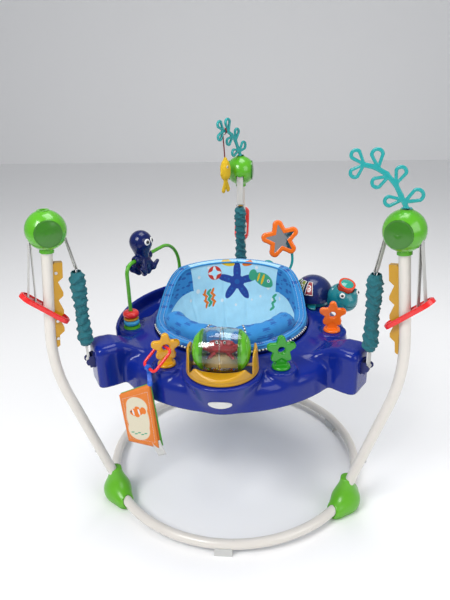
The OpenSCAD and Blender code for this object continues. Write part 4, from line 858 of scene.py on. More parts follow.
def tube(name, line, radius, material, sides=12, closed=False):
    """A round tube along a line of points, mm, with its length in the UV map."""
    line = np.array(line, float)
    run = (np.roll(line, -1, axis=0) - np.roll(line, 1, axis=0)) if closed else np.gradient(line, axis=0)
    run /= np.linalg.norm(run, axis=1)[:, None]
    hint = np.array([0, 0, 1.0]) if np.abs(run[:, 2]).max() < 0.9 else np.array([0.31, 0.83, 0.1])
    one = np.cross(run, hint)
    one /= np.linalg.norm(one, axis=1)[:, None]
    two = np.cross(run, one)
    angles = np.linspace(0, 2 * math.pi, sides, endpoint=False)
    radii = np.broadcast_to(radius, (len(line),))
    rows = np.array([line[i] + radii[i] * (np.cos(angles)[:, None] * one[i] + np.sin(angles)[:, None]
                                           * two[i])
                     for i in range(len(line))])
    steps = np.diff(np.concatenate([line, line[:1]]), axis=0)
    long = np.concatenate([[0], np.cumsum(np.linalg.norm(steps, axis=1))])
    last = len(line) if closed else len(line) - 1
    faces, coords = [], []
    for i in range(last):
        j = (i + 1) % len(line)
        for k in range(sides):
            m = (k + 1) % sides
            faces.append((i * sides + k, j * sides + k, j * sides + m, i * sides + m))
            coords += [(k * 0.5, long[i]), (k * 0.5, long[i + 1]),
                       (k * 0.5 + 0.5, long[i + 1]), (k * 0.5 + 0.5, long[i])]
    if not closed:
        faces += [tuple(range(sides)), tuple(range((len(line) - 1) * sides, len(line) * sides))[::-1]]
        coords += [(0, 0)] * sides + [(0, long[-2])] * sides
    piece = new_object(name, rows.reshape(-1, 3) * MM, faces, material)
    lay_uv(piece, np.array(coords) * MM)
    return piece


# Each key has a printed white line round it and a number, 1 to 3.
line_radius, number_radius = 60.75, 60.9
key_outline = [(-17, -5.5), (21, -11), (21, 11), (-17, 5.5)]
key_bodies = ("key_one", "key_two", "key_three")
for i, direction in enumerate((196, 224, 254)):
    tilt = Matrix.Rotation(math.radians(direction), 4, "Z") @ Matrix.Rotation(math.radians(50), 4, "Y")
    place = Matrix.Translation(Vector(shell_at) * MM) @ tilt
    line = []
    for (ax, ay), (bx, by) in zip(key_outline, key_outline[1:] + key_outline[:1]):
        line += [(ax + (bx - ax) * k / 12, ay + (by - ay) * k / 12) for k in range(12)]
    local = [(x, y, math.sqrt(line_radius ** 2 - x ** 2 - y ** 2)) for x, y in line]
    world = np.array([place @ (Vector(p) * MM) for p in local]) / MM
    edge = tube(f"key_line_{i + 1}", world, 0.9, eye_white, sides=8, closed=True)
    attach(edge, key_bodies[i])
    text = bpy.data.curves.new(f"number {i + 1}", "FONT")
    text.body = str(i + 1)
    text.size = 0.026
    text.align_x, text.align_y = "CENTER", "CENTER"
    text.extrude = 0.0006
    holder = bpy.data.objects.new("number", text)
    bpy.context.scene.collection.objects.link(holder)
    solid = holder.evaluated_get(bpy.context.evaluated_depsgraph_get())
    number_mesh = bpy.data.meshes.new_from_object(solid)
    bpy.data.objects.remove(holder)
    spin = Matrix.Rotation(math.radians(90), 4, "Z")
    for vertex in number_mesh.vertices:
        p = spin @ vertex.co + Vector((4 * MM, 0, 0))
        p.z = math.sqrt(max(0, (number_radius * MM) ** 2 - p.x ** 2 - p.y ** 2)) + vertex.co.z
        vertex.co = place @ p
    number_mesh.materials.clear()
    number_mesh.materials.append(eye_white)
    number = bpy.data.objects.new(f"key_number_{i + 1}", number_mesh)
    bpy.context.scene.collection.objects.link(number)
    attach(number, key_bodies[i])

# ---- Star mirror on a stalk ----
# A bendy turquoise stalk holds an orange star frame with a sheet of flexible
# mirror film pressed into it.
mirror_face = finish("mirror film", (0.80, 0.82, 0.84), 0.06, grain=25, depth=0.0008, metal=1.0, wear=0.03,
                     shade=0.12)
stalk_line = np.array([(0, 0), (0, 26), (2, 50), (10, 70), (26, 80), (42, 72), (52, 54), (66, 42), (84, 44),
                       (96, 58), (101, 78), (100, 96), (99, 104)], float)


def soft_profile(controls, rounds=3):
    """Cuts the corners of an open line of points, keeping its ends."""
    for _ in range(rounds):
        a, b = controls[:-1], controls[1:]
        controls = np.concatenate([controls[:1], np.stack([0.75 * a + 0.25 * b, 0.25 * a + 0.75 * b],
                                                          axis=1)
                                  .reshape(-1, 2), controls[-1:]])
    return controls


stalk_line = soft_profile(stalk_line, 3)
stalk_at = leg_points([(seat_circle, 0, 456.1)], 76)[0]
line = [(stalk_at[0] + x, stalk_at[1], stalk_at[2] + 3 + z) for x, z in stalk_line]
stalk = tube("mirror_stalk_tube", line, 4, leaf_teal, sides=20)


def stalk_foot(x, y, z):
    """The flange at the foot of the stalk."""
    return meet(np.sqrt(x ** 2 + y ** 2) - 22.5 + 0.3 * z, np.abs(z - 3) - 3, 1.5)


points, quads = skin(stalk_foot, (-27, -27, -4), (27, 27, 11), 1.8)
foot = new_object("mirror_stalk_foot", (points + stalk_at) * MM, quads, leaf_teal)
for piece in (stalk, foot):
    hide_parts("mirror_stalk")
    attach(piece, "tray_body")


def mirror_outline(x, y):
    """A star with five round points, seen from the front."""
    r, swing = np.sqrt(x ** 2 + y ** 2), np.arctan2(y, x) - math.radians(100)
    fold = np.abs((swing + math.pi / 5) % (2 * math.pi / 5) - math.pi / 5)
    return rod(r * np.cos(fold), r * np.sin(fold), 0 * r, (10, 0, 0), (42, 0, 0), 27, 15.5)


def mirror_field(x, y, z):
    """The frame: the star given its thickness, with a recess in front and one behind the film."""
    flat = mirror_outline(x, y)
    star = plate(flat, np.abs(z) - 7.8, 4.5)
    star = np.maximum(star, -np.maximum(flat + 13.5, 4 - z))
    return np.maximum(star, -np.maximum(flat + 13, z + 1.5))


mirror_turn = Matrix.Rotation(math.radians(10), 4, "Z") @ Matrix.Rotation(math.radians(80), 4, "X")
mirror_frame_place = Matrix.Translation(Vector(stalk_at + [64, -3, 152]) * MM) @ mirror_turn


def placed(points, place):
    """Points in mm, moved by a matrix in metres."""
    turn = np.array(place.to_3x3())
    return points @ turn.T + np.array(place.translation) / MM


points, quads = skin(mirror_field, (-62, -62, -10), (62, 62, 10), 1.7)
mirror_star = new_object("mirror_star_frame", placed(points, mirror_frame_place) * MM, quads, star_orange)
stand_for(mirror_star, "mirror_toy", "mirror_frame")
dress(mirror_face, "mirror")

# ---- Roller drum ----
# A clear two-part barrel with green domed ends spins on an axle in a yellow
# cradle, round a fixed red crab on sand with loose coloured beads.
drum_clear = finish("clear plastic", (0.93, 0.97, 0.98), 0.05, grain=40, depth=0.00001, clear=1.0,
                    wear=0.03)
drum_centre = np.array([0, -257, 512.0])
drum_radius, drum_half = 51, 38
dress(drum_clear, "drum_barrel")


def drum_cap_field(x, y, z):
    """A domed end: x outwards from the barrel's end."""
    r = np.sqrt(y ** 2 + z ** 2)
    dome = np.sqrt((x + 22) ** 2 + np.maximum(r - 8, 0) ** 2 * 1.18) - 49.6
    cap = meet(meet(dome, -x, 2), r - 46, 3)
    cap = np.maximum(cap, x - 27.5)
    groove = np.abs(r - 33) - 1.0
    cap = np.maximum(cap, -np.maximum(groove, 10 - x))
    return np.maximum(cap, 4.2 - r)


points, quads = skin(drum_cap_field, (-3, -52, -52), (30, 52, 52), 1.8)
both = []
for side in (-1, 1):
    turned = points * [side, 1, 1] + drum_centre + [side * (drum_half + 0.3), 0, 0]
    both.append((turned, quads if side > 0 else quads[:, ::-1]))
caps = new_object("drum_ends", np.concatenate([b[0] for b in both]) * MM,
                  np.concatenate([both[0][1], both[1][1] + len(points)]), head_green)
stand_for(caps, "drum", "drum_caps")
seam_radius = drum_radius + 0.4
seam_line = [drum_centre + [0, seam_radius * math.cos(a), seam_radius * math.sin(a)]
             for a in np.linspace(0, 2 * math.pi, 96, endpoint=False)]
seam = tube("drum_seam", seam_line, 1.1, drum_clear, sides=10, closed=True)
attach(seam, "drum")


def cradle_field(x, y, z):
    """The yellow cradle round the roller, from the pod's top: a flared dish with a saddle at the front."""
    r = np.sqrt(x ** 2 + (y - pod_centre) ** 2)
    form = meet(r - 83.5 + 0.07 * (z - 459), np.abs(z - 489) - 29.7, 5)
    line = np.sqrt((r - 83.4 + 0.07 * (z - 459)) ** 2 + (z - 467.5) ** 2) - 1.2
    form = cut(form, line, 1.5)
    form = cut(form, np.sqrt((x / 1.5) ** 2 + (z - 524) ** 2) - 48, 6)
    axle = np.sqrt((y - drum_centre[1]) ** 2 + (z - drum_centre[2]) ** 2)
    form = cut(form, np.maximum(axle - 54, np.abs(x) - 70), 3)
    form = cut(form, axle - 4.3, 1)
    return cut(form, np.sqrt(x ** 2 + y ** 2) - 237, 5)


points, quads = skin(cradle_field, (-90, -340, 455), (90, -160, 524), 2.0)
cradle = new_object("drum_cradle", points * MM, quads, rack_yellow)
stand_for(cradle, "tray_body", "cradle")


def crab_field(x, y, z):
    """A plain crab: one wide body with two arms and claws, from the axle's middle."""
    x, z = x / 1.14, z / 1.1
    body = rod(x, y, z * 1.15, (-13, 0, 6), (13, 0, 6), 15, 15)
    for side in (-1, 1):
        body = join(body, rod(x, y, z, (side * 20, -6, -2), (side * 30, -10, 6), 5, 4.5), 4)
        body = join(body, ball(x, y, z, (side * 32, -10, 9), 7.5), 3)
        body = join(body, rod(x, y, z, (side * 14, -10, -6), (side * 24, -16, -14), 4, 3), 3)
        body = join(body, rod(x, y, z, (side * 6.5, -9, 16), (side * 7, -12, 21), 3, 4.6), 3)
    return body


crab_red = finish("crab red plastic", (0.55, 0.02, 0.03), 0.3, grain=400, depth=0.00002, coat=0.3)
sand = finish("moulded sand", (0.70, 0.47, 0.20), 0.7, grain=900, depth=0.0003, shade=0.1)
points, quads = skin(crab_field, (-48, -30, -26), (48, 22, 35), 1.6)
crab = new_object("crab_body", (points + drum_centre + [0, 0, 2]) * MM, quads, crab_red)
stand_for(crab, "tray_body", "drum_crab")
for side in (-1, 1):
    for name, size, out, material in (("white", 3.6, 4.2, eye_white), ("pupil", 1.9, 5.6, eye_black)):
        look = np.array([0.15 * side, -0.95, 0.28])
        eye = bead_mesh(f"crab_eye_{name}_{side + 1}", drum_centre + [side * 8, -12, 25] + look * out,
                        (size, size, 1.2), look, material, rings=8, sides=14)
        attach(eye, "tray_body")


def sand_field(x, y, z):
    """The heap of sand under the crab, kept inside the barrel: from the axle's middle, with x along it."""
    heap = np.sqrt((x / 1.5) ** 2 + y ** 2) - 20 + 0.5 * (z + 20)
    ripples = z + 9 + 0.6 * np.sin(x / 3) * np.sin(y / 4)
    room = np.maximum(np.sqrt(y ** 2 + z ** 2) - 41, np.abs(x) - 37)
    return np.maximum(meet(heap, ripples, 4), room)


points, quads = skin(sand_field, (-44, -36, -44), (44, 36, -2), 1.8)
dune = new_object("crab_sand", (points + drum_centre) * MM, quads, sand)
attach(dune, "tray_body")
bead_colours = [(0.02, 0.12, 0.6), (0.7, 0.05, 0.02), (0.75, 0.5, 0.01), (0.03, 0.42, 0.1)]
bead_finishes = [finish(f"drum bead {i}", c, 0.25, grain=300, depth=0.00001) for i,
                 c in enumerate(bead_colours)]
chance = np.random.default_rng(5)
for i in range(16):
    a, u = -math.pi / 2 + chance.uniform(-0.55, 0.25), chance.uniform(-30, 30)
    spot = drum_centre + [u, 45.2 * math.cos(a - 0.35), 45.2 * math.sin(a - 0.35)]
    grain = bead_mesh(f"drum_bead_{i}", spot, (2.7, 2.7, 2.7), (0, 0, 1), bead_finishes[i % 4], rings=6,
                      sides=10)
    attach(grain, "drum")

# ---- Seat ----
# A padded fabric bucket sewn to the plastic ring: printed inside, gathered
# outside, with two leg holes in its floor and corded piping round its top.


def spots(tree, uv, colour, marks):
    """Prints soft-edged ovals over a colour: each is a centre, two radii, a turn in degrees and an ink."""
    for (u, v), (wide, high), turn, ink in marks:
        place = tree.nodes.new("ShaderNodeMapping")
        place.vector_type = "TEXTURE"
        place.inputs["Location"].default_value = (u * MM, v * MM, 0)
        place.inputs["Rotation"].default_value = (0, 0, math.radians(turn))
        place.inputs["Scale"].default_value = (wide * MM, high * MM, 1)
        tree.links.new(uv, place.inputs["Vector"])
        reach = tree.nodes.new("ShaderNodeVectorMath")
        reach.operation = "LENGTH"
        tree.links.new(place.outputs["Vector"], reach.inputs[0])
        edge = tree.nodes.new("ShaderNodeMapRange")
        edge.inputs["From Min"].default_value = 1.0
        edge.inputs["From Max"].default_value = 0.93
        tree.links.new(reach.outputs["Value"], edge.inputs["Value"])
        over = tree.nodes.new("ShaderNodeMix")
        over.data_type = "RGBA"
        over.inputs["B"].default_value = (*ink, 1)
        tree.links.new(edge.outputs["Result"], over.inputs["Factor"])
        tree.links.new(colour, over.inputs["A"])
        colour = over.outputs["Result"]
    return colour


ink_navy, ink_green, ink_red = (0.012, 0.05, 0.30), (0.04, 0.36, 0.20), (0.60, 0.03, 0.02)
ink_white, ink_yellow = (0.75, 0.80, 0.82), (0.78, 0.50, 0.01)
ink_orange, ink_sky = (0.78, 0.17, 0.01), (0.008, 0.10, 0.38)
seat_sky = (0.46, 0.80, 0.97)


def sea_print(tree, uv, colour):
    """A sea star, a fish, a life ring, weed, shells and bubbles, placed on the lining in mm."""
    bubbles = ((78, 552, 5), (64, 536, 3), (-62, 552, 5), (-80, 470, 4), (-52, 456, 3), (44, 452, 5),
               (0, 438, 4),
               (-104, 500, 6), (112, 530, 5), (120, 490, 7), (-124, 470, 5), (150, 470, 5), (-150, 480, 6))
    marks = [((u, v), (r, r), 0, ink_white) for u, v, r in bubbles]
    for k in range(5):
        turn = 90 + 72 * k
        lean = math.radians(turn)
        marks.append(((-4 + 30 * math.cos(lean), 506 + 30 * math.sin(lean)), (31, 11.5), turn, ink_navy))
        marks += [((-4 + out * math.cos(lean), 506 + out * math.sin(lean)), (size, size), 0, ink_sky)
                  for out, size in ((26, 3.4), (38, 2.6), (48, 1.9))]
    marks += [((-4, 506), (22, 22), 0, ink_navy), ((-4, 506), (8, 8), 0, ink_sky)]
    marks += [((-88, 520), (34, 20), 15, ink_green), ((-52, 529), (13, 18), 15, ink_green),
              ((-104, 520), (5, 5), 0, ink_white), ((-104, 520), (2.4, 2.4), 0, ink_navy),
              ((-84, 521), (4, 17), 15, ink_yellow), ((-70, 525), (3, 14), 15, ink_yellow)]
    marks += [((62, 535), (21, 21), 0, ink_red), ((62, 535), (20, 6), 0, ink_white),
              ((62, 535), (6, 20), 0, ink_white), ((62, 535), (10, 10), 0, seat_sky),
              ((22, 560), (20, 8), 10, ink_yellow), ((-34, 560), (16, 7), -12, ink_orange)]
    for u, lean, ink in ((72, 80, ink_orange), (84, 100, ink_green), (97, 75, ink_orange),
                         (-130, 95, ink_green)):
        marks += [((u, 446 + 9 * k), (11, 4), lean + 40 * (-1) ** k, ink) for k in range(5)]
    return spots(tree, uv, colour, marks)


def wave_print(tree, uv, colour):
    """Darker blue leaves and waves scattered over the outer panels and rolls."""
    squeeze = tree.nodes.new("ShaderNodeMapping")
    squeeze.inputs["Rotation"].default_value = (0, 0, 0.6)
    squeeze.inputs["Scale"].default_value = (1, 2.6, 1)
    tree.links.new(uv, squeeze.inputs["Vector"])
    leaves = tree.nodes.new("ShaderNodeTexVoronoi")
    leaves.inputs["Scale"].default_value = 42
    tree.links.new(squeeze.outputs["Vector"], leaves.inputs["Vector"])
    edge = tree.nodes.new("ShaderNodeMapRange")
    edge.inputs["From Min"].default_value = 0.40
    edge.inputs["From Max"].default_value = 0.36
    tree.links.new(leaves.outputs["Distance"], edge.inputs["Value"])
    over = tree.nodes.new("ShaderNodeMix")
    over.data_type = "RGBA"
    over.inputs["B"].default_value = (*ink_sky, 1)
    tree.links.new(edge.outputs["Result"], over.inputs["Factor"])
    tree.links.new(colour, over.inputs["A"])
    return over.outputs["Result"]


seat_inside = cloth("printed seat lining", seat_sky, 0.0008, depth=0.0001, figure=sea_print)
seat_outside = cloth("printed seat panels", (0.025, 0.25, 0.62), 0.0008, depth=0.0001, figure=wave_print)
seat_front_top, seat_back_rise, ring_top = 484, 84, 470
around = 320


def seat_top(t):
    """Height of the seat's top edge, mm: low at the front and sides, high behind the back."""
    s = min(max((math.sin(t) + 0.05) / 0.72, 0), 1)
    return seat_front_top + seat_back_rise * s * s * (3 - 2 * s)


rings = []
for t in np.linspace(0, 2 * math.pi, around, endpoint=False):
    top = seat_top(t)
    rise = top - ring_top
    outer = [(0, 268), (60, 268), (116, 268), (136, 302), (154, 378), (185, 428), (188.5, 440),
             (188.5, ring_top), (200, ring_top + 0.5), (202, ring_top + 0.2 * rise),
             (200, ring_top + 0.62 * rise), (197, top - 4)]
    inner = [(176, top - 3), (170, ring_top + 0.6 * rise), (167, ring_top + 0.1 * rise), (158, 448),
             (142, 396), (130, 340), (112, 286), (98, 275), (60, 274), (0, 274)]
    controls = np.array(outer + [(187, top)] + inner, float)
    line = soft_profile(controls)
    r, z = line[:, 0], line[:, 1]
    count = len(line)
    part = np.linspace(0, 1, count)
    outside = np.exp(-((part - 0.44) / 0.055) ** 2) * np.clip(rise / 30, 0.3, 1)
    lining = np.exp(-((part - 0.72) / 0.11) ** 2)
    gather = np.sin(52 * t + 1.4 * math.sin(5 * t) + part * 6) + 0.5 * math.sin(23 * t + 1)
    r = r + 1.7 * outside * (gather - 0.6)
    gaps = [t - math.radians(a) for a in (42, 78, 102, 138, 200, 340)]
    seams = sum(math.exp(-(math.atan2(math.sin(gap), math.cos(gap)) / 0.028) ** 2) for gap in gaps)
    plump = 4.5 * abs(math.sin((t - math.radians(42)) * 5)) ** 0.6
    r = r + lining * (3.2 * seams - 0.45 * plump + 0.9 * np.sin(9 * t + z / 13) * np.sin(z / 17 + 3 * t))
    rings.append(np.stack([r * math.cos(t), r * math.sin(t), z], axis=1))
rings = np.array(rings)
split_back, split_side = int(0.53 * count), int(0.66 * count)
points = np.concatenate([rings[:, 1:-1].reshape(-1, 3), rings[:1, 0], rings[:1, -1]])
inner_count = count - 2
faces, coords, kinds = [], [], []
for i in range(around):
    j = (i + 1) % around
    for k in range(inner_count - 1):
        faces.append((i * inner_count + k, j * inner_count + k, j * inner_count + k + 1,
                      i * inner_count + k + 1))
        back = math.sin(i * 2 * math.pi / around) > 0.72
        kinds.append(0 if k + 1 >= (split_back if back else split_side) else 1)
        for column, row in ((i, k), (i + 1, k), (i + 1, k + 1), (i, k + 1)):
            swing = column * 2 * math.pi / around
            late = swing >= 1.5 * math.pi and i >= 0.75 * around
            swing -= 2.5 * math.pi if late else math.pi / 2
            coords.append((swing * 172, rings[column % around, row + 1, 2]))
    faces.append((len(points) - 2, j * inner_count, i * inner_count))
    faces.append((len(points) - 1, i * inner_count + inner_count - 1, j * inner_count + inner_count - 1))
    kinds += [1, 0]
    for k in (0, inner_count - 1):
        coords += [(rings[c, k + 1, 0], rings[c, k + 1, 1]) if c >= 0 else (0, 0)
                   for c in ((-1, j, i) if k == 0 else (-1, i, j))]
seat = new_object("seat_bucket", points * MM, faces, seat_inside, seat_outside)
for face, kind in zip(seat.data.polygons, kinds):
    face.material_index = kind
lay_uv(seat, np.array(coords) * MM)
leg_hole, leg_apart, leg_forward = 45, 59, -26
for sign in (-1, 1):
    turns = np.linspace(0, 2 * math.pi, 64, endpoint=False)
    ring = np.array([(sign * leg_apart + leg_hole * math.cos(a), leg_forward + leg_hole * math.sin(a))
                     for a in turns])
    ends = np.concatenate([np.insert(ring, 2, 255, axis=1), np.insert(ring, 2, 290, axis=1)])
    walls = [(i, (i + 1) % 64, 64 + (i + 1) % 64, 64 + i) for i in range(64)]
    hole = new_object("leg_hole", ends * MM, walls + [tuple(range(64))[::-1], tuple(range(64, 128))])
    opening = seat.modifiers.new("leg hole", "BOOLEAN")
    opening.object = hole
    opening.operation = "DIFFERENCE"
    cut_mesh = bpy.data.meshes.new_from_object(seat.evaluated_get(bpy.context.evaluated_depsgraph_get()))
    seat.modifiers.clear()
    seat.data = cut_mesh
    bpy.data.objects.remove(hole)
stand_for(seat, "seat", "seat_fabric")

# ---- Piping ----
# A cord in striped bias tape, sewn into the seam round the seat's top.
tape = plain("striped piping", (0.7, 0.7, 0.7), 0.7)
tree = tape.node_tree
place = tree.nodes.new("ShaderNodeUVMap")
place.uv_map = "cloth"
stripe = tree.nodes.new("ShaderNodeTexWave")
stripe.bands_direction = "Y"
stripe.inputs["Scale"].default_value = 34
stripe.inputs["Distortion"].default_value = 0.3
tree.links.new(place.outputs["UV"], stripe.inputs["Vector"])
hard = tree.nodes.new("ShaderNodeValToRGB")
hard.color_ramp.interpolation = "CONSTANT"
hard.color_ramp.elements[0].color = (0.02, 0.02, 0.025, 1)
hard.color_ramp.elements[1].position = 0.5
hard.color_ramp.elements[1].color = (0.72, 0.72, 0.70, 1)
tree.links.new(stripe.outputs["Fac"], hard.inputs["Fac"])
tree.links.new(hard.outputs["Color"], tree.nodes["Principled BSDF"].inputs["Base Color"])
fuzz = tree.nodes.new("ShaderNodeTexNoise")
fuzz.inputs["Scale"].default_value = 900
bump = tree.nodes.new("ShaderNodeBump")
bump.inputs["Distance"].default_value = 0.0002
tree.links.new(place.outputs["UV"], fuzz.inputs["Vector"])
tree.links.new(fuzz.outputs["Fac"], bump.inputs["Height"])
tree.links.new(bump.outputs["Normal"], tree.nodes["Principled BSDF"].inputs["Normal"])


plain_tape = cloth("blue piping", (0.03, 0.28, 0.64), 0.0008, depth=0.0001)
for name, radius, drop in (("piping_outer", 196.5, 3.5), ("piping_inner", 174.5, 4.5)):
    line = [(radius * math.cos(t), radius * math.sin(t), seat_top(t) - drop)
            for t in np.linspace(0, 2 * math.pi, 240, endpoint=False)]
    piping = tube(name, line, 2.3, plain_tape, closed=True)
    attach(piping, "seat")

line = [(203.5 * math.cos(math.radians(a)), 203.5 * math.sin(math.radians(a)), 472.5)
        for a in range(196, 345, 2)]
hem = tube("piping_front", line, 2.4, tape)
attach(hem, "seat")

# ---- Front rolls ----
# Two padded rolls of the panel cloth along the seat's front, gathered at their
# ends, which keep a child from the tray's edge.
roll_circle, roll_height, roll_radius = 155, 490, 27
rows, sides = 90, 48
for name, first, last, band_at in (("roll_left", 196, 266, 254), ("roll_right", 274, 344, 286)):
    s, t = np.meshgrid(np.linspace(0, 1, rows), np.linspace(0, 2 * math.pi, sides, endpoint=False),
                       indexing="ij")
    end = np.clip(np.minimum(s, 1 - s) / 0.16, 0, 1)
    fat = roll_radius * np.sqrt(np.clip(1 - (1 - end) ** 2, 0.001, 1))
    fat = fat * (1 + 0.05 * (1 - end) * np.sin(13 * t) + 0.03 * np.sin(3 * t + 9 * s)
                 + 0.025 * np.sin(34 * s + 2 * np.sin(t)))
    swing = np.radians(first + (last - first) * s)
    out = roll_circle + fat * np.cos(t)
    high = roll_height + fat * 0.95 * np.sin(t)
    local = np.stack([out * np.cos(swing), out * np.sin(swing), high], axis=-1).reshape(-1, 3)
    faces = [(i * sides + k, (i + 1) * sides + k, (i + 1) * sides + (k + 1) % sides,
              i * sides + (k + 1) % sides)
             for i in range(rows - 1) for k in range(sides)]
    coords = [((i + a) * 1.9 + 3000, (k + b) * 2.9) for i in range(rows - 1) for k in range(sides)
              for a, b in ((0, 0), (1, 0), (1, 1), (0, 1))]
    faces += [tuple(range(sides)), tuple(range((rows - 1) * sides, rows * sides))[::-1]]
    coords += [(3000, 0)] * (2 * sides)
    roll = new_object(name, local * MM, [f[::-1] for f in faces], seat_outside)
    lay_uv(roll, np.array(coords) * MM)
    stand_for(roll, "seat", "seat_bolsters")
    at = math.radians(band_at)
    ring = [((roll_circle + 27.4 * math.cos(a)) * math.cos(at),
             (roll_circle + 27.4 * math.cos(a)) * math.sin(at),
             roll_height + 26.2 * math.sin(a)) for a in np.linspace(0, 2 * math.pi, 60, endpoint=False)]
    band = tube(name + "_piping", ring, 2.0, tape, closed=True)
    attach(band, "seat")

# ---- Stitching ----
# Lockstitches in thick white thread, run round the seat's top edge and the
# book's cover. One small tree lays a rounded stitch at every pitch of a path.


def stitch_tree():
    """Geometry nodes: edges in, a row of stitches out."""
    tree = bpy.data.node_groups.new("lockstitches", "GeometryNodeTree")
    tree.interface.new_socket("Path", in_out="INPUT", socket_type="NodeSocketGeometry")
    for label in ("Pitch", "Length", "Thickness"):
        tree.interface.new_socket(label, in_out="INPUT", socket_type="NodeSocketFloat")
    tree.interface.new_socket("Thread", in_out="INPUT", socket_type="NodeSocketMaterial")
    tree.interface.new_socket("Stitches", in_out="OUTPUT", socket_type="NodeSocketGeometry")
    enter, leave = tree.nodes.new("NodeGroupInput"), tree.nodes.new("NodeGroupOutput")
    path = tree.nodes.new("GeometryNodeMeshToCurve")
    spaced = tree.nodes.new("GeometryNodeResampleCurve")
    spaced.mode = "LENGTH"
    along = tree.nodes.new("GeometryNodeInputTangent")
    turn = tree.nodes.new("FunctionNodeAlignRotationToVector")
    turn.axis = "Z"
    bead = tree.nodes.new("GeometryNodeMeshUVSphere")
    bead.inputs["Segments"].default_value = 6
    bead.inputs["Rings"].default_value = 5
    bead.inputs["Radius"].default_value = 0.5
    size = tree.nodes.new("ShaderNodeCombineXYZ")
    lay = tree.nodes.new("GeometryNodeInstanceOnPoints")
    real = tree.nodes.new("GeometryNodeRealizeInstances")
    thread = tree.nodes.new("GeometryNodeSetMaterial")
    link = tree.links.new
    link(enter.outputs["Path"], path.inputs["Mesh"])
    link(path.outputs["Curve"], spaced.inputs["Curve"])
    link(enter.outputs["Pitch"], spaced.inputs["Length"])
    link(spaced.outputs["Curve"], lay.inputs["Points"])
    link(bead.outputs["Mesh"], lay.inputs["Instance"])
    link(along.outputs["Tangent"], turn.inputs["Vector"])
    link(turn.outputs["Rotation"], lay.inputs["Rotation"])
    for axis, label in (("X", "Thickness"), ("Y", "Thickness"), ("Z", "Length")):
        link(enter.outputs[label], size.inputs[axis])
    link(size.outputs["Vector"], lay.inputs["Scale"])
    link(lay.outputs["Instances"], real.inputs["Geometry"])
    link(real.outputs["Geometry"], thread.inputs["Geometry"])
    link(enter.outputs["Thread"], thread.inputs["Material"])
    link(thread.outputs["Geometry"], leave.inputs["Stitches"])
    return tree


lockstitches = stitch_tree()
sewing_thread = finish("white sewing thread", (0.62, 0.66, 0.70), 0.75, grain=1500, depth=0.00004)


def stitch_row(name, line, pitch, long, thick, body, closed=True):
    """Sews one row along a line of points, mm, onto a body."""
    path = bpy.data.meshes.new(name)
    count = len(line)
    edges = [(i, (i + 1) % count) for i in range(count if closed else count - 1)]
    path.from_pydata([tuple(c * MM for c in p) for p in line], edges, [])
    row = bpy.data.objects.new(name, path)
    bpy.context.scene.collection.objects.link(row)
    sewn = row.modifiers.new("stitches", "NODES")
    sewn.node_group = lockstitches
    sockets = {s.name: s.identifier for s in lockstitches.interface.items_tree if s.in_out == "INPUT"}
    for label, value in (("Pitch", pitch * MM), ("Length", long * MM), ("Thickness", thick * MM),
                         ("Thread", sewing_thread)):
        sewn[sockets[label]] = value
    row.update_tag()
    mesh = bpy.data.meshes.new_from_object(row.evaluated_get(bpy.context.evaluated_depsgraph_get()))
    row.modifiers.clear()
    row.data = mesh
    mesh.shade_smooth()
    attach(row, body)
    return row


for name, radius, drop in (("stitches_rim", 190.5, -0.3), ("stitches_lining", 180.5, 1.2)):
    sewn_line = [(radius * math.cos(t), radius * math.sin(t), seat_top(t) - drop)
                 for t in np.linspace(0, 2 * math.pi, 240, endpoint=False)]
    stitch_row(name, sewn_line, 5.2, 3.8, 0.9, "seat")

# ---- Link, clip and cloth book ----
# A red plastic link hangs in the yellow star; from it a clip and a short strap
# carry a small padded cloth book with an orange border and a blank care tag.
dress(clip_red, "toy_link")
dress(finish("blue clip plastic", (0.01, 0.10, 0.55), 0.25, coat=0.3), "book_clip")
book_x, book_y, book_turn = -195, -284, math.radians(-8)
book_corners = [(33, 437), (-44, 400), (-33, 272), (43, 263)]


def fish_print(tree, uv, colour):
    """A cream panel with a plain striped fish, inside a border."""
    cream, ink = (0.72, 0.66, 0.50), (0.80, 0.20, 0.02)
    marks = [((-2, 343), (29, 58), 4, cream), ((-2, 310), (28, 30), 4, cream),
             ((-2, 376), (27, 26), 4, cream)]
    marks += [((-4, 360), (17, 11), 12, ink), ((13, 366), (7, 10), 12, ink),
              ((-12, 359), (2.2, 9), 12, ink_white),
              ((2, 362), (2.2, 10), 12, ink_white), ((-17, 360), (2, 2), 0, (0.02, 0.02, 0.02)),
              ((-2, 372), (6, 4), 0, ink), ((-2, 349), (5, 3), 0, ink)]
    for k in range(5):
        marks.append(((-18 + 8 * k, 300 + 2 * (-1) ** k), (4.5, 1.6), 10, ink_green))
    return spots(tree, uv, colour, marks)


page_front = cloth("book cover cloth", (0.80, 0.22, 0.03), 0.0007, depth=0.0001, figure=fish_print)
page_green = cloth("book green cloth", (0.10, 0.42, 0.06), 0.0007, depth=0.0001)
page_edge = cloth("book edge tape", (0.80, 0.20, 0.02), 0.0006, depth=0.0001)


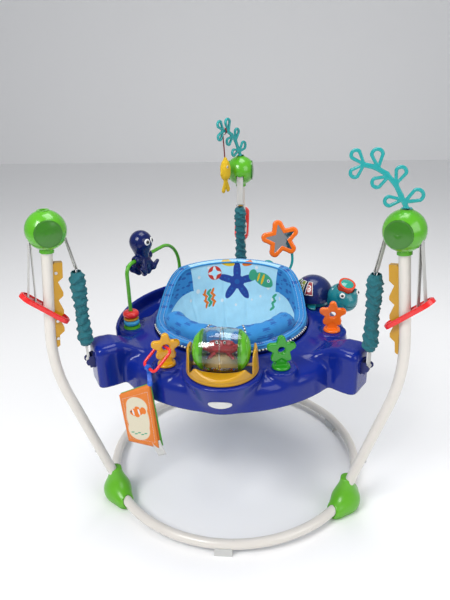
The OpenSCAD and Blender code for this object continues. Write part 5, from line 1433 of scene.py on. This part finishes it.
def page(name, offset, swell, material, spread):
    """One padded page: offset is its distance from the book's middle, towards the back."""
    n = 26
    a, b = np.meshgrid(np.linspace(0, 1, n), np.linspace(0, 1, n), indexing="ij")
    c = [np.array(p, float) for p in book_corners]
    top = (1 - a)[..., None] * c[1] + a[..., None] * c[0]
    low = (1 - a)[..., None] * c[2] + a[..., None] * c[3]
    flat = (1 - b)[..., None] * low + b[..., None] * top
    flat[..., 0] += spread * (1 - b)
    edge = np.minimum(np.minimum(a, 1 - a), np.minimum(b, 1 - b))
    puff = swell * (np.clip(edge / 0.16, 0, 1) ** 0.5) * (1 + 0.16 * np.sin(9 * a + 3 * b)
                                                          * np.sin(7 * b + 2 * a))
    puff = np.where(np.abs(edge - 0.09) < 0.02, puff * 0.8, puff)
    lean = spread * 0.15 * (1 - b)
    points, faces, coords = [], [], []
    for sign in (-1, 1):
        for i in range(n):
            for j in range(n):
                points.append((flat[i, j, 0], offset + lean[i, j] + sign * (0.4 + puff[i, j]),
                               flat[i, j, 1]))

    def index(s, i, j):
        return s * n * n + i * n + j

    for s in (0, 1):
        for i in range(n - 1):
            for j in range(n - 1):
                quad = [(i, j), (i + 1, j), (i + 1, j + 1), (i, j + 1)]
                quad = quad if s == 0 else quad[::-1]
                faces.append(tuple(index(s, *q) for q in quad))
                coords += [tuple(flat[q]) for q in quad]
    rim = [(i, 0) for i in range(n)] + [(n - 1, j) for j in range(1, n)]
    rim += [(i, n - 1) for i in range(n - 2, -1, -1)] + [(0, j) for j in range(n - 2, 0, -1)]
    for p, q in zip(rim, rim[1:] + rim[:1]):
        faces.append((index(0, *q), index(0, *p), index(1, *p), index(1, *q)))
        coords += [tuple(flat[p])] * 4
    x, y, z = np.array(points).T
    turned = np.stack([x * math.cos(book_turn) - y * math.sin(book_turn) + book_x,
                       x * math.sin(book_turn) + y * math.cos(book_turn) + book_y, z], axis=1)
    piece = new_object(name, turned * MM, faces, material)
    lay_uv(piece, np.array(coords) * MM)
    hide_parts("book")
    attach(piece, "cloth_book")


page("book_cover", -4.6, 2.2, page_front, 0)
page("book_inside", 0.3, 1.6, page_edge, 3)
page("book_back", 4.8, 2.0, page_green, 7)
cover_corners = [np.array(c, float) for c in book_corners]
inset, cover_line = 0.09, []
for p, q in (((0, 0), (1, 0)), ((1, 0), (1, 1)), ((1, 1), (0, 1)), ((0, 1), (0, 0))):
    for k in range(20):
        a, b = (inset + (1 - 2 * inset) * (p[i] + (q[i] - p[i]) * k / 20) for i in (0, 1))
        flat = ((1 - b) * ((1 - a) * cover_corners[2] + a * cover_corners[3])
                + b * ((1 - a) * cover_corners[1] + a * cover_corners[0]))
        out = -4.6 - 0.4 - 2.2 * 0.8 * math.sqrt(inset / 0.16)
        cover_line.append((flat[0] * math.cos(book_turn) - out * math.sin(book_turn) + book_x,
                           flat[0] * math.sin(book_turn) + out * math.cos(book_turn) + book_y, flat[1]))
stitch_row("stitches_cover", cover_line, 4.4, 3.2, 0.9, "cloth_book")

# ---- Care tag ----
# A blank satin care tag, sewn in behind the book's lower corner, that hangs below it.
satin = cloth("satin tag", (0.60, 0.60, 0.58), 0.0004, roughness=0.5, depth=0.00004)
tag_line = [(book_x + 36, book_y - 9, 282), (book_x + 41, book_y - 10, 262),
            (book_x + 49, book_y - 11, 243)]
tag = ribbon("care_tag", tag_line, 20, 0.6, (1, 0.1, 0.2), satin)
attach(tag, "cloth_book")

# ---- Hanging fish ----
# A small plush fish, stuffed and sewn from two sides, on a dark red ribbon
# that is looped round the stem of the rear leaves.
fish_along, fish_up, fish_turn = 83, 130.1, 150


def rear_leaf(local):
    """Points given at the fish's loop, x along the leaf and z up, on the rear ball."""
    turned = leg_points(np.asarray(local, float) + [fish_along, 0, fish_up], fish_turn)
    turned = turned + [head_out, 0, head_high]
    return leg_points(turned, 90)


def fish_field(x, y, z):
    """The stuffed body, which hangs head up: from the ribbon's loop, y through it."""
    body = rod(x, y * 1.5, z, (0, 0, -112), (0, 0, -128), 20, 19)
    body = join(body, rod(x, y * 1.3, z, (0, 0, -92), (0, 0, -84), 12, 7), 12)
    for side in (-1, 1):
        body = join(body, rod(x, y * 2.2, z, (side * 2, 0, -152), (side * 12, 0, -176), 7, 8.5), 8)
        body = join(body, rod(x, y * 2, z, (side * 15, 0, -118), (side * 22, 0, -126), 6, 4.5), 5)
    return body + 0.35 * np.sin(x * 0.9) * np.sin(z * 0.8)


fish_yellow = finish("yellow plush", (0.80, 0.52, 0.02), 0.95, grain=700, depth=0.0008, shade=0.12,
                     wear=0.03)
points, quads = skin(fish_field, (-30, -18, -188), (30, 18, -74), 1.5)
plush = new_object("fish_body", rear_leaf(points) * MM, quads, fish_yellow)
stand_for(plush, "plush_fish", "fish")
ribbon_red = cloth("dark red ribbon", (0.22, 0.01, 0.015), 0.0005, depth=0.00006)
across = leg_points(leg_points([(1, 0, 0)], fish_turn), 90)[0]
loop_line = [(0, -7.6, -3), (0, -7.2, 3), (0, -4, 7), (0, 0, 8.4), (0, 4, 7), (0, 7.2, 3), (0, 7.6, -3),
             (0, 3, -9), (0, -2, -12)]
tail_line = [(0, -7.6, -3), (0, -5.5, -20), (0, -3, -50), (0, -1, -84)]
for name, line in (("ribbon_loop", loop_line), ("ribbon_tail", tail_line)):
    band = ribbon(name, rear_leaf(line), 6, 0.9, across, ribbon_red)
    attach(band, "plush_fish")
for side in (-1, 1):
    look = np.array([0.0, side, 0.0])
    spot = rear_leaf([(7, side * 13.2, -104)])[0]
    normal = leg_points(leg_points([look], fish_turn), 90)[0]
    for name, size, out, material in (("white", 4.4, 0, eye_white), ("pupil", 2.4, 1.1, eye_black)):
        eye = bead_mesh(f"fish_eye_{name}_{side + 1}", spot + normal * out, (size, size, 1.3), normal,
                        material,
                        rings=8, sides=14)
        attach(eye, "plush_fish")
